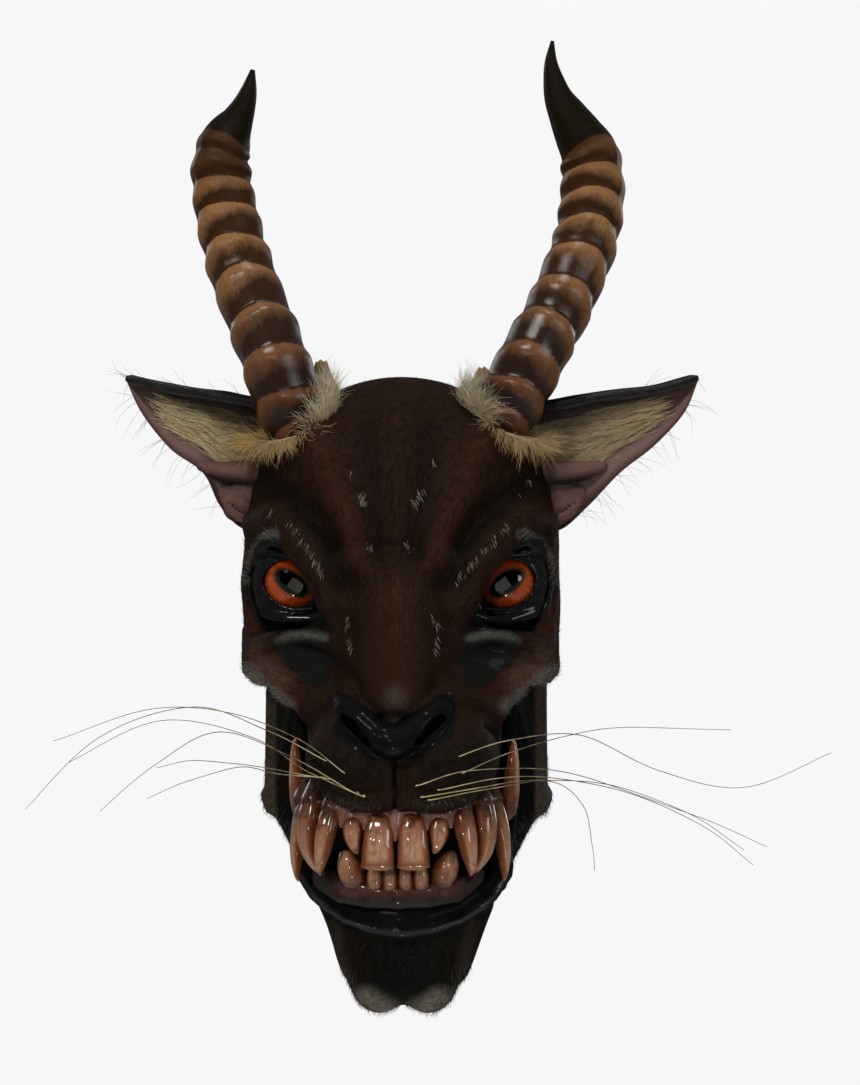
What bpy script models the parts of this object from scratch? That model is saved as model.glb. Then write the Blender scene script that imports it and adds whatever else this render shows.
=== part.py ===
"""A horned beast dance mask with a hinged lower jaw, modelled piece by piece.

Run it with: blender --background --python part.py

The mask faces -Y, with +X to the viewer's right and +Z up. The origin is the top centre of the
back rim, which lies against the wall. Names use the viewer's left and right. Lengths below are in
millimetres and are turned into metres when a mesh is made.
"""

import math

import bmesh
import bpy
from mathutils import Matrix, Vector

MM = 0.001
GAP = 0.3            # air left between two pieces that touch
RUNNING_GAP = 0.1    # air round the hinge bolts, on which the jaw turns
WALL = 9.0           # thickness of the carved wood
VOXEL = 4.0          # fineness of the carved surfaces
JAW_X = 4.0          # the jaw's middle plane, a little to the right of the face's
TEETH_X = 0.0        # the upper teeth's middle
LOWER_TEETH_X = 1.0  # the lower teeth's middle, but for the tusks
EYE = (75.0, -58.0, -134.0)       # centre of an eyeball
EYE_RADIUS = 24.0
EYE_WALL = 3.0
SOCKET = (28.5, 32.0)             # half width and half height of the hole for an eye
SOCKET_FRONT = -90.0              # how far forward the hole reaches under the brow
PUPIL = (9.0, 4.2)                # half length and half height of the slot pupil
PUPIL_TURN = 35.0                 # its tilt, in degrees, down towards the nose
PIVOT = (-31.0, -188.0)           # Y and Z of the jaw hinge
BOLT_RADIUS = 3.0
HEAD_SEAT = 106.0                 # where a hinge bolt's head sits in the cheek
RAMUS = (89.5, 98.0)              # inner and outer face of the jaw's side plates
PEG_RADIUS = 12.0                 # wooden peg inside a horn
HORN_RINGS = 11
RINGED_SHARE = 0.76               # how much of a horn carries rings
RING_HEIGHT = 4.0
COLLAR = (33.0, 5.0, 12.0)        # fur round a horn: ring radius, half thickness, half height
HIDE_X = (40.0, 60.0)             # inner and outer side of a flap of hide
HIDE_TOP = {-1: 24.0, 1: 19.0}
WHISKER_RADIUS = 0.55

COLOURS = {
    "face": ((0.075, 0.035, 0.025), 0.55, 0.0),
    "jaw": ((0.030, 0.022, 0.018), 0.50, 0.0),
    "horn": ((0.16, 0.065, 0.025), 0.30, 0.0),
    "ear": ((0.10, 0.045, 0.040), 0.60, 0.0),
    "fur": ((0.42, 0.32, 0.17), 0.90, 0.0),
    "hide": ((0.38, 0.27, 0.15), 0.80, 0.0),
    "lid": ((0.010, 0.011, 0.012), 0.25, 0.0),
    "iris": ((0.60, 0.10, 0.01), 0.10, 0.0),
    "gum": ((0.32, 0.10, 0.08), 0.20, 0.0),
    "tooth": ((0.40, 0.17, 0.07), 0.20, 0.0),
    "whisker": ((0.60, 0.52, 0.36), 0.45, 0.0),
    "steel": ((0.55, 0.54, 0.52), 0.35, 1.0),
    "wood": ((0.34, 0.20, 0.10), 0.75, 0.0),
    "leather": ((0.13, 0.07, 0.04), 0.70, 0.0),
}


# ---------------------------------------------------------------- helpers

def clear_scene():
    for obj in list(bpy.data.objects):
        bpy.data.objects.remove(obj)


def material(kind):
    made = bpy.data.materials.get(kind)
    if made:
        return made
    colour, roughness, metallic = COLOURS[kind]
    made = bpy.data.materials.new(kind)
    made.use_nodes = True
    shader = made.node_tree.nodes["Principled BSDF"]
    shader.inputs["Base Color"].default_value = (*colour, 1.0)
    shader.inputs["Roughness"].default_value = roughness
    shader.inputs["Metallic"].default_value = metallic
    return made


def finish_mesh(name, bm, kind):
    """Turns a bmesh in millimetres into a named object in metres."""
    bmesh.ops.recalc_face_normals(bm, faces=bm.faces)
    bmesh.ops.scale(bm, vec=(MM, MM, MM), verts=bm.verts)
    mesh = bpy.data.meshes.new(name)
    bm.to_mesh(mesh)
    bm.free()
    mesh.shade_smooth()
    mesh.set_sharp_from_angle(angle=math.radians(40))
    obj = bpy.data.objects.new(name, mesh)
    bpy.context.scene.collection.objects.link(obj)
    if kind:
        mesh.materials.append(material(kind))
    return obj


def helper(obj):
    """Marks an object as a cutter or guide, which is no part of the mask."""
    obj.hide_render = True
    obj.display_type = "WIRE"
    return obj


def combine(obj, other, operation="DIFFERENCE"):
    modifier = obj.modifiers.new(f"{operation.lower()}_{other.name}", "BOOLEAN")
    modifier.operation = operation
    modifier.solver = "EXACT"
    modifier.object = helper(other)
    return obj


def side_name(side):
    return "left" if side < 0 else "right"


def smooth_path(points, count):
    """Evenly numbered points on a Catmull-Rom curve through rows of numbers."""
    rows = [Vector(p) for p in points]
    rows = [2 * rows[0] - rows[1], *rows, 2 * rows[-1] - rows[-2]]
    spans = len(rows) - 3
    found = []
    for step in range(count):
        at = min(step * spans / (count - 1), spans - 1e-6)
        i, t = int(at), at - int(at)
        a, b, c, d = rows[i:i + 4]
        found.append(0.5 * (2 * b + (c - a) * t + (2 * a - 5 * b + 4 * c - d) * t ** 2
                            + (3 * b - a - 3 * c + d) * t ** 3))
    return found


def across(direction, side_hint):
    """Two unit vectors square to direction, the first as near as it can be to side_hint."""
    direction = direction.normalized()
    first = (side_hint - direction * side_hint.dot(direction)).normalized()
    return first, direction.cross(first)


def tube(bm, centres, halves, sides, side_hint=Vector((1, 0, 0))):
    """A closed tube through centres. halves holds each ring's (half width, half depth)."""
    rings = []
    for i, centre in enumerate(centres):
        ahead = centres[min(i + 1, len(centres) - 1)] - centres[max(i - 1, 0)]
        first, second = across(ahead, side_hint)
        wide, deep = halves[i]
        ring = []
        for k in range(sides):
            turn = math.tau * k / sides
            spot = centre + first * (wide * math.cos(turn)) + second * (deep * math.sin(turn))
            ring.append(bm.verts.new(spot))
        rings.append(ring)
    for low, high in zip(rings, rings[1:]):
        for k in range(sides):
            n = (k + 1) % sides
            bm.faces.new((low[k], low[n], high[n], high[k]))
    bm.faces.new(rings[0][::-1])
    bm.faces.new(rings[-1])


def tube_object(name, centres, halves, sides, kind, side_hint=Vector((1, 0, 0))):
    bm = bmesh.new()
    tube(bm, centres, halves, sides, side_hint)
    return finish_mesh(name, bm, kind)


def rod_object(name, start, end, radius, kind, sides=16):
    start, end = Vector(start), Vector(end)
    hint = Vector((0, 0, 1)) if abs((end - start).normalized().z) < 0.9 else Vector((1, 0, 0))
    return tube_object(name, [start, end], [(radius, radius)] * 2, sides, kind, hint)


def box_object(name, low, high, kind=None):
    bm = bmesh.new()
    low, high = Vector(low), Vector(high)
    size = high - low
    place = Matrix.Translation((low + high) / 2) @ Matrix.Diagonal((*size, 1))
    bmesh.ops.create_cube(bm, size=1, matrix=place)
    return finish_mesh(name, bm, kind)


# ---------------------------------------------------------------- carved blocks

def add_ball(bm, centre, radii, segments=32):
    place = Matrix.Translation(centre) @ Matrix.Diagonal((*radii, 1))
    bmesh.ops.create_uvsphere(bm, u_segments=segments, v_segments=segments // 2, radius=1,
                              matrix=place)


def add_hull(bm, knots):
    """The tightest skin round the balls at some (x, y, z, radius) knots."""
    part = bmesh.new()
    for *centre, radius in knots:
        bmesh.ops.create_uvsphere(part, u_segments=16, v_segments=10, radius=radius,
                                  matrix=Matrix.Translation(centre))
    hull = bmesh.ops.convex_hull(part, input=part.verts)
    inner = {v for v in hull["geom_interior"] if isinstance(v, bmesh.types.BMVert)}
    bmesh.ops.delete(part, geom=list(inner), context="VERTS")
    mesh = bpy.data.meshes.new("hull")
    part.to_mesh(mesh)
    part.free()
    bm.from_mesh(mesh)
    bpy.data.meshes.remove(mesh)


def carved(name, blocks, kind, grow=0.0, keep=0.045, smoothing=6, middle=0.0):
    """Fuses blocks into one carved surface, each block made on both sides of its middle plane."""
    bm = bmesh.new()
    for shape, *facts in blocks:
        for side in (1, -1):
            if shape == "ball":
                (x, y, z), radii = facts
                if x or side > 0:
                    add_ball(bm, (middle + x * side, y, z), [r + grow for r in radii])
                continue
            knots = [(middle + x * side, y, z, r + grow) for x, y, z, r in facts[0]]
            if side < 0 and not any(k[0] for k in facts[0]):
                continue
            spans = zip(knots, knots[1:]) if shape == "chain" else [knots]
            for span in spans:
                add_hull(bm, span)
    obj = finish_mesh(name, bm, kind)
    remesh = obj.modifiers.new("fuse", "REMESH")
    remesh.mode = "VOXEL"
    remesh.voxel_size = VOXEL * MM
    smooth = obj.modifiers.new("soften", "SMOOTH")
    smooth.factor = 0.5
    smooth.iterations = smoothing
    thin = obj.modifiers.new("facets", "DECIMATE")
    thin.ratio = keep
    return obj


# Blocks of the carving: a ball is (centre, radii), a chain or a hull is a row of
# (x, y, z, radius) knots. First the skull, cheeks and muzzle, which are hollow.
DOME = ((0, -22, -88), (108, 88, 96))
HEAD = [
    ("ball", *DOME),
    ("ball", (0, -22, -150), (108, 78, 88)),
    ("chain", [(84, -22, -54, 17), (90, -26, -110, 20), (90, -28, -192, 20)]),
    ("ball", (0, -78, -222), (73, 68, 60)),
]
# Then what stands out from them: cheekbones, nose, whisker pads, brows and the eyes' rims.
FEATURES = [
    ("chain", [(96, -45, -192, 14), (84, -70, -200, 15), (60, -98, -216, 17)]),
    ("chain", [(0, -96, -100, 22), (0, -120, -160, 25), (0, -138, -212, 24)]),
    ("ball", (0, -148, -232), (25, 23, 20)),
    ("ball", (27, -139, -230), (16, 18, 17)),
    ("ball", (30, -116, -254), (42, 44, 38)),
    ("chain", [(27, -112, -142, 12), (48, -104, -118, 13), (74, -88, -95, 13), (96, -62, -88, 12)]),
    ("chain", [(103, -60, -96, 8), (104, -58, -135, 8), (100, -60, -168, 10)]),
    ("chain", [(38, -104, -168, 10), (64, -94, -178, 9), (92, -72, -176, 10)]),
]
# The lower jaw, measured from its own middle plane.
CHIN = [
    ("ball", (0, -86, -378), (54, 48, 46)),
    ("ball", (19, -98, -407), (25, 29, 27)),
    ("chain", [(66, -96, -338, 8), (47, -114, -358, 9), (32, -122, -365, 9), (0, -130, -369, 10)]),
    ("chain", [(60, -92, -334, 9), (42, -108, -350, 11), (0, -118, -360, 12)]),
    ("ball", (0, -92, -394), (49, 41, 34)),
    ("hull", [(93.7, -25, -182, 4.3), (93.7, -37, -182, 4.3), (93.7, -52, -225, 4.3),
              (93.7, -30, -292, 5), (93.7, -56, -292, 5)]),
    ("hull", [(93.7, -50, -213, 4.3), (93.7, -52, -290, 4.3), (73, -74, -214, 4),
              (70, -80, -305, 5)]),
    ("hull", [(94, -30, -290, 6), (94, -52, -288, 6), (70, -80, -305, 5), (67, -96, -336, 6),
              (46, -92, -392, 9), (44, -70, -394, 8), (66, -54, -345, 6)]),
]
THROAT = [
    ("ball", (0, -62, -372), (41, 50, 40)),
    ("ball", (0, -36, -322), (72, 62, 42)),
    ("hull", [(0, -40, -420, 10), (30, -40, -400, 10), (56, -40, -340, 10), (56, 0, -340, 10),
              (0, 0, -430, 20)]),
]

# The middle line of each gum, from its middle to one end.
UPPER_ARCH = [(0, -141, -294), (30, -136, -293), (52, -120, -290), (63, -98, -288)]
LOWER_ARCH = [(0, -124, -353), (30, -118, -350), (50, -104, -344), (64, -84, -338)]

# Each tooth: root to tip rows of (x, y, z, half width, half depth), and the turn of its face.
UPPER_TEETH = {
    "upper_incisor": (0, [(12, -141, -291, 7, 5), (12, -146, -302, 10.5, 6.5),
                          (11.8, -150, -318, 11.2, 6.5), (11.8, -151, -333, 11.2, 3)]),
    "upper_lateral": (10, [(30, -138, -292, 4, 4), (30, -142, -302, 6, 5),
                           (30, -144, -311, 6.5, 4.5), (29, -144, -321, 1.5, 1.5)]),
    "inner_fang": (35, [(45, -130, -290, 5, 4), (48, -136, -302, 6.5, 6), (50, -139, -318, 6, 5.5),
                        (50, -138, -336, 1.6, 1.6)]),
    "middle_fang": (50, [(56, -116, -289, 5, 4), (61, -121, -300, 6.5, 6),
                         (62, -125, -318, 6, 5.5), (57, -126, -333, 1.6, 1.6)]),
    "outer_fang": (65, [(62, -100, -287, 4, 4), (69, -106, -298, 5.5, 6), (72, -112, -318, 5.5, 5),
                        (74, -118, -340, 1.4, 1.4)]),
}
LOWER_TEETH = {
    "lower_inner_incisor": (0, [(5.8, -124, -356, 3, 3), (5.7, -130, -349, 4.2, 4),
                                (5.7, -134, -340, 4.6, 4), (5.7, -135, -331, 3.6, 2.6)]),
    "lower_outer_incisor": (10, [(17, -122, -355, 3.4, 3), (17, -128, -348, 5, 4),
                                 (17, -132, -339, 5.4, 4), (17, -133, -330, 4, 2.6)]),
    "lower_canine": (30, [(35, -116, -352, 4, 4), (35, -122, -344, 8.5, 7),
                          (34.5, -126, -334, 9.2, 7), (37, -126, -321, 3, 3)]),
}
TUSKS = {
    "tusk": (75, [(66, -82, -340, 5, 5), (70, -86, -318, 6.5, 6.5), (74, -90, -292, 7, 7),
                  (77, -93, -264, 6, 6), (77.5, -95, -242, 1.2, 1.2)]),
}

# The black leather that closes the mouth behind the teeth: (z, half width), its front and back.
LINING = [(-211, 66.5), (-236, 66), (-290, 64), (-305, 62), (-320, 57), (-335, 40), (-347, 24)]
LINING_Y = (-81.5, -79.1)

# Horn centre lines from base to tip: (x, y, z, radius).
HORNS = {
    -1: [(-70, -52, -38, 22), (-81, -56, -12, 22), (-89, -54, 26, 22.5), (-98, -48, 50, 22.5),
         (-106, -41, 74, 22), (-114, -34, 98, 21.5), (-121, -29, 124, 21), (-125, -27, 148, 20.5),
         (-124, -29, 168, 18), (-118, -34, 186, 12.5), (-110, -40, 205, 7.5), (-103, -47, 226, 1.5)],
    1: [(63, -52, -38, 22), (76, -56, -12, 22), (94, -54, 26, 22.5), (107, -48, 52, 22),
        (118, -41, 77, 21), (127, -34, 102, 21), (133, -29, 126, 21), (134, -27, 148, 20.5),
        (131, -29, 170, 19), (123, -33, 187, 15), (113, -39, 210, 9), (107, -47, 246, 1.5)],
}
# Ear edges from the head to the tip: (x, z), measured outwards from the middle.
EAR_TOP = {-1: [(84, -8), (131, 2), (165, 7), (194, 10)], 1: [(84, -8), (140, -2), (176, 4), (209, 10)]}
EAR_LOW = {
    -1: [(96, -98), (124, -84), (138, -57), (163, -40), (183, -15), (194, 8)],
    1: [(96, -98), (128, -84), (153, -57), (178, -38), (199, -15), (209, 8)],
}
# Whiskers from the lip to the tip: (x, y, z).
WHISKERS = {
    "left": [
        [(-36, -158, -263), (-66, -170, -240), (-112, -168, -223), (-165, -150, -220), (-238, -120, -243)],
        [(-49, -154, -255), (-88, -165, -234), (-140, -160, -219), (-205, -135, -240), (-258, -110, -291)],
        [(-24, -160, -279), (-60, -172, -262), (-98, -172, -239), (-162, -156, -228), (-226, -133, -258)],
        [(-29, -158, -277), (-72, -166, -252), (-120, -160, -236), (-165, -145, -258), (-205, -130, -292)],
        [(-47, -154, -268), (-80, -162, -262), (-112, -160, -257), (-140, -150, -256), (-165, -140, -261)],
        [(-52, -152, -267), (-84, -158, -264), (-108, -154, -260), (-142, -145, -270), (-172, -135, -282)],
    ],
    "right": [
        [(40, -156, -254), (78, -168, -241), (127, -165, -238), (180, -145, -262), (240, -125, -275),
         (300, -105, -251)],
        [(44, -154, -265), (78, -164, -250), (118, -160, -238), (160, -145, -233), (230, -120, -235)],
        [(17, -160, -272), (50, -172, -262), (104, -168, -261), (158, -150, -276), (210, -130, -296),
         (256, -110, -316)],
        [(33, -158, -275), (72, -170, -267), (112, -166, -267), (160, -148, -278), (212, -125, -302),
         (246, -105, -329)],
        [(21, -160, -280), (60, -172, -273), (100, -168, -268), (150, -152, -273), (200, -132, -292),
         (240, -118, -318)],
        [(26, -159, -282), (66, -170, -274), (106, -164, -269), (129, -152, -287), (135, -140, -314),
         (136, -132, -332)],
    ],
}


# ---------------------------------------------------------------- the head

def horn_axis(side):
    """Where a horn's centre line starts, and its direction there."""
    start, second = Vector(HORNS[side][1][:3]), Vector(HORNS[side][2][:3])
    return start, (second - start).normalized()


def turned(bm, profile, closed, steps=16):
    """Spins a (radius, y) profile about the Y axis."""
    ring = [bm.verts.new((radius, y, 0)) for radius, y in profile]
    edges = [bm.edges.new(pair) for pair in zip(ring, ring[1:])]
    if closed:
        edges.append(bm.edges.new((ring[-1], ring[0])))
    bmesh.ops.spin(bm, geom=ring + edges, cent=(0, 0, 0), axis=(0, 1, 0), angle=math.tau,
                   steps=steps, use_duplicate=False, use_merge=True)
    bmesh.ops.remove_doubles(bm, verts=bm.verts, dist=0.001)


def arc(radius, start, end, count):
    """Points (r, y) on a circle, with the angle counted from the forward axis, -Y."""
    turns = [math.radians(start + (end - start) * i / (count - 1)) for i in range(count)]
    return [(radius * math.sin(t), -radius * math.cos(t)) for t in turns]


def socket_cutter(side):
    """An oval bar through the face at an eye, which leaves the brow in front of it."""
    centre = Vector((EYE[0] * side, 0, EYE[2]))
    ends = [centre + Vector((0, y, 0)) for y in (SOCKET_FRONT, -30)]
    return tube_object(f"socket_cutter_{side_name(side)}", ends, [SOCKET] * 2, 24, None)


def pupil_cutter(side):
    """A rounded slot through the eye, tilted down towards the nose."""
    bm = bmesh.new()
    long, high = PUPIL
    lean = math.radians(PUPIL_TURN) * side
    centre = Vector((EYE[0] * side, EYE[1] - EYE_RADIUS - 10, EYE[2]))
    ring = []
    for k in range(16):
        turn = math.tau * (k + 0.5) / 16
        u = math.copysign(long - high, math.cos(turn)) + high * math.cos(turn)
        v = high * math.sin(turn)
        x = u * math.cos(lean) - v * math.sin(lean)
        z = u * math.sin(lean) + v * math.cos(lean)
        ring.append(bm.verts.new(centre + Vector((x, 0, z))))
    made = bmesh.ops.extrude_face_region(bm, geom=[bm.faces.new(ring)])
    back = [v for v in made["geom"] if isinstance(v, bmesh.types.BMVert)]
    bmesh.ops.translate(bm, vec=(0, 30, 0), verts=back)
    return finish_mesh(f"pupil_cutter_{side_name(side)}", bm, None)


def build_eye(side):
    """The glossy iris shell with its see-through pupil, and the black lids round it."""
    where = side_name(side)
    centre = Vector((EYE[0] * side, EYE[1], EYE[2]))
    bm = bmesh.new()
    turned(bm, arc(EYE_RADIUS, 0, 76, 6) + arc(EYE_RADIUS - EYE_WALL, 76, 0, 6), closed=False)
    bmesh.ops.translate(bm, vec=centre, verts=bm.verts)
    combine(finish_mesh(f"eye_{where}", bm, "iris"), pupil_cutter(side))

    lid_in, lid_out = EYE_RADIUS + GAP, SOCKET[0] - GAP
    profile = arc(lid_in, 46, 80, 4) + [(lid_out, -4), (lid_out, -13), (lid_out - 3, -18)]
    bm = bmesh.new()
    turned(bm, profile, closed=True)
    bmesh.ops.scale(bm, vec=(1, 1, (SOCKET[1] - GAP) / lid_out), verts=bm.verts)
    bmesh.ops.translate(bm, vec=centre, verts=bm.verts)
    finish_mesh(f"eyelid_{where}", bm, "lid")


def build_face():
    """The carved upper head: hollow, open behind, and open below behind the muzzle."""
    face = carved("face_shell", HEAD + FEATURES, "face")
    combine(face, carved("hollow_cutter", HEAD, None, grow=-WALL, keep=0.025))
    combine(face, box_object("wall_cutter", (-200, 0, -350), (200, 120, 60)))
    plates = RAMUS[1] + 0.7
    combine(face, box_object("mouth_cutter", (JAW_X - 110, -84, -340), (JAW_X + 110, 30, -206)))
    combine(face, box_object("jaw_slot_cutter", (JAW_X - plates, -52, -220),
                             (JAW_X + plates, 30, -172)))
    for side in (-1, 1):
        where = side_name(side)
        ends = [Vector((x * side, y, z)) for x, y, z in ((36, -152, -228), (25, -162, -233),
                                                          (11, -172, -243))]
        combine(face, tube_object(f"nostril_cutter_{where}", ends, [(3, 7), (4.5, 9), (2, 5)], 8,
                                  None, Vector((0, 0, 1))))
        combine(face, socket_cutter(side))
        y, z = PIVOT
        combine(face, rod_object(f"hinge_bore_cutter_{where}", (side * 80, y, z),
                                 (side * 130, y, z), BOLT_RADIUS + GAP, None, sides=12))
        combine(face, rod_object(f"head_seat_cutter_{where}", (side * HEAD_SEAT, y, z),
                                 (side * 130, y, z), 8.5, None, sides=16))
        base, ahead = horn_axis(side)
        combine(face, rod_object(f"peg_hole_cutter_{where}", base - ahead * 38,
                                 base + ahead * 40, PEG_RADIUS + GAP, None, sides=12))
    combine(face, gum_object("upper_gum_seat_cutter", UPPER_ARCH, TEETH_X, GAP, None))
    return face


def gum_object(name, arch, middle, grow, kind):
    """A horseshoe of gum along an arch."""
    right = smooth_path(arch, 7)
    left = [Vector((-p.x, p.y, p.z)) for p in right[:0:-1]]
    centres = [p + Vector((middle, 0, 0)) for p in left + right]
    halves = [(8.0 + grow, 10.0 + grow)] * len(centres)
    return tube_object(name, centres, halves, 8, kind, Vector((0, -1, 0)))


def tooth_object(name, side, middle, turn, rows, grow, kind):
    """A tooth from its root-to-tip rows; turn is how far its face looks outwards."""
    smooth = smooth_path(rows, 5)
    centres = [Vector((middle + r[0] * side, r[1], r[2])) for r in smooth]
    halves = [(r[3] + grow, r[4] + grow) for r in smooth]
    if grow:
        centres[0] = centres[0] + (centres[0] - centres[1]).normalized() * grow
    lean = math.radians(turn) * side
    hint = Vector((math.cos(lean), math.sin(lean), 0))
    return tube_object(name, centres, halves, 8, kind, hint)


def build_teeth(gum, teeth, middle, carving):
    """Sets each tooth in its own socket in the gum, and a tusk's in the wood as well."""
    for kind, (turn, rows) in teeth.items():
        rows = [Vector(r) for r in rows]
        for side in (-1, 1):
            name = f"{kind}_{side_name(side)}"
            tooth_object(name, side, middle, turn, rows, 0.0, "tooth")
            socket = tooth_object(f"{name}_socket_cutter", side, middle, turn, rows, GAP, None)
            combine(gum, socket)
            if kind == "tusk":
                combine(carving, socket)


def build_horn(side, skull):
    """A ringed horn sheath on its wooden peg, and the screw that holds the peg from inside."""
    where = side_name(side)
    rows = 46
    line = smooth_path([Vector(p) for p in HORNS[side]], rows)
    centres = [Vector(p[:3]) for p in line]
    halves = []
    for i, p in enumerate(line):
        share = i / (rows - 1)
        ring = abs(math.sin(math.pi * share * HORN_RINGS / RINGED_SHARE))
        swell = RING_HEIGHT * (ring - 0.6) if share < RINGED_SHARE else 0.0
        halves.append((p[3] + swell,) * 2)
    horn = tube_object(f"horn_{where}", centres, halves, 10, "horn")
    combine(horn, skull)
    base, ahead = horn_axis(side)
    combine(horn, rod_object(f"peg_bore_cutter_{where}", base - ahead * 40, base + ahead * 40.3,
                             PEG_RADIUS + GAP, None, sides=12))
    peg = rod_object(f"horn_peg_{where}", base - ahead * 20, base + ahead * 40, PEG_RADIUS, "wood",
                     sides=12)
    combine(peg, rod_object(f"screw_hole_cutter_{where}", base - ahead * 40, base + ahead * 10.3,
                            2.2 + GAP, None, sides=8))
    bm = bmesh.new()
    stops = [base + ahead * at for at in (-24, -20.3, -20.29, 10)]
    tube(bm, stops, [(5, 5), (5, 5), (2.2, 2.2), (2.2, 2.2)], 8, ahead.orthogonal())
    finish_mesh(f"horn_screw_{where}", bm, "steel")


def collar_axis(side):
    """The middle of a fur collar and its axis, which leans from the horn towards the skull."""
    base, ahead = horn_axis(side)
    outwards = Vector([(b - c) / r ** 2 for b, c, r in zip(base, *DOME)])
    axis = (ahead * 1.4 + outwards.normalized()).normalized()
    return base + ahead * 5, axis


def build_collar(side, skull):
    """The ring of fur round a horn's foot."""
    where = side_name(side)
    centre, ahead = collar_axis(side)
    first, second = across(ahead, Vector((1, 0, 0)))
    bm = bmesh.new()
    rings = []
    steps, sides = 16, 6
    for i in range(steps):
        turn = math.tau * i / steps
        out = first * math.cos(turn) + second * math.sin(turn)
        ring = []
        for k in range(sides):
            a = math.tau * k / sides
            spot = centre + out * (COLLAR[0] + COLLAR[1] * math.cos(a))
            ring.append(bm.verts.new(spot + ahead * (COLLAR[2] * math.sin(a))))
        rings.append(ring)
    for i in range(steps):
        low, high = rings[i], rings[(i + 1) % steps]
        for k in range(sides):
            n = (k + 1) % sides
            bm.faces.new((low[k], low[n], high[n], high[k]))
    combine(finish_mesh(f"horn_fur_{where}", bm, "fur"), skull)


def build_hide(side, skull):
    """The flap of bare hide that stands up behind the inner side of a fur collar."""
    where = side_name(side)
    rows = []
    for j in range(4):
        rise = j / 3
        row = []
        for i in range(5):
            over = i / 4
            x = HIDE_X[0] + (HIDE_X[1] - HIDE_X[0]) * over + 3 * rise
            z = -12 + (HIDE_TOP[side] + 12 - 9 * (over - 0.4) ** 2 * 4) * rise
            row.append(Vector((x * side, -14 - 3 * math.sin(math.pi * over), z)))
        rows.append(row)
    combine(sheet_object(f"hide_flap_{where}", rows, lambda i, j: 2.5, "hide"), skull)


def ear_rows(side, across_steps, along_steps):
    """Front surface of an ear as rows of points: rows run along it, from the head to the tip."""
    top = smooth_path([(x, 0, z) for x, z in EAR_TOP[side]], along_steps)
    low = smooth_path([(x, 0, z) for x, z in EAR_LOW[side]], along_steps)
    rows = []
    for j in range(along_steps):
        along = j / (along_steps - 1)
        row = []
        for i in range(across_steps):
            over = i / (across_steps - 1)
            spot = top[j].lerp(low[j], over)
            cup = 17.0 * math.sin(math.pi * over) ** 0.8 * (1 - along) ** 0.6
            y = -34.0 + 4.0 * over - 4.0 * along + cup
            row.append(Vector((spot.x * side, y, spot.z)))
        rows.append(row)
    return rows


def sheet_object(name, rows, thickness, kind):
    """A closed sheet: rows of front points, and a back face thickness(i, j) behind them."""
    bm = bmesh.new()
    front = [[bm.verts.new(p) for p in row] for row in rows]
    back = [[bm.verts.new(p + Vector((0, thickness(i, j), 0))) for i, p in enumerate(row)]
            for j, row in enumerate(rows)]
    last_j, last_i = len(rows) - 1, len(rows[0]) - 1
    for j in range(last_j):
        for i in range(last_i):
            bm.faces.new((front[j][i], front[j][i + 1], front[j + 1][i + 1], front[j + 1][i]))
            bm.faces.new((back[j][i], back[j + 1][i], back[j + 1][i + 1], back[j][i + 1]))
        for i in (0, last_i):
            bm.faces.new((front[j][i], front[j + 1][i], back[j + 1][i], back[j][i]))
    for j in (0, last_j):
        for i in range(last_i):
            bm.faces.new((front[j][i], back[j][i], back[j][i + 1], front[j][i + 1]))
    return finish_mesh(name, bm, kind)


def build_ear(side, skull):
    """A cupped ear with the fur that lines it."""
    where = side_name(side)
    rows = ear_rows(side, 7, 8)
    ear = sheet_object(f"ear_{where}", rows, lambda i, j: 5.0, "ear")
    bm = bmesh.new()
    add_ball(bm, (100 * side, -24, -52), (16, 15, 32), segments=14)
    combine(ear, finish_mesh(f"ear_root_{where}", bm, None), "UNION")
    combine(ear, skull)
    middle, axis = collar_axis(side)
    room = COLLAR[0] + COLLAR[1] + 2 * GAP
    combine(ear, rod_object(f"ear_room_cutter_{where}", middle - axis * 20, middle + axis * 60,
                            room, None, sides=20))
    inset = [[row[i] + Vector((0, -GAP - 5, 0)) for i in range(1, 6)] for row in rows[2:7]]
    fur = sheet_object(f"ear_fur_{where}", inset, lambda i, j: 5.0, "fur")
    combine(fur, skull)
    combine(fur, bpy.data.objects[f"ear_room_cutter_{where}"])


def build_jaw():
    """The lower jaw: chin, side plates and the hollow behind the lip."""
    jaw = carved("jaw_shell", CHIN, "jaw", keep=0.07, smoothing=2, middle=JAW_X)
    combine(jaw, carved("throat_cutter", THROAT, None, keep=0.04, middle=JAW_X))
    y, z = PIVOT
    for side in (-1, 1):
        combine(jaw, rod_object(f"jaw_bore_cutter_{side_name(side)}", (side * 70, y, z),
                                (side * 120, y, z), BOLT_RADIUS + RUNNING_GAP, None, sides=24))
    combine(jaw, gum_object("lower_gum_seat_cutter", LOWER_ARCH, LOWER_TEETH_X, GAP, None))
    return jaw


def build_lining():
    """The flat panel of black leather that hangs between the jaw's webs, behind the teeth."""
    front, back = LINING_Y
    rows = [[Vector((JAW_X + half * over, front, z)) for over in (-1, 1)] for z, half in LINING]
    sheet_object("mouth_lining", rows, lambda i, j: back - front, "leather")


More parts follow.
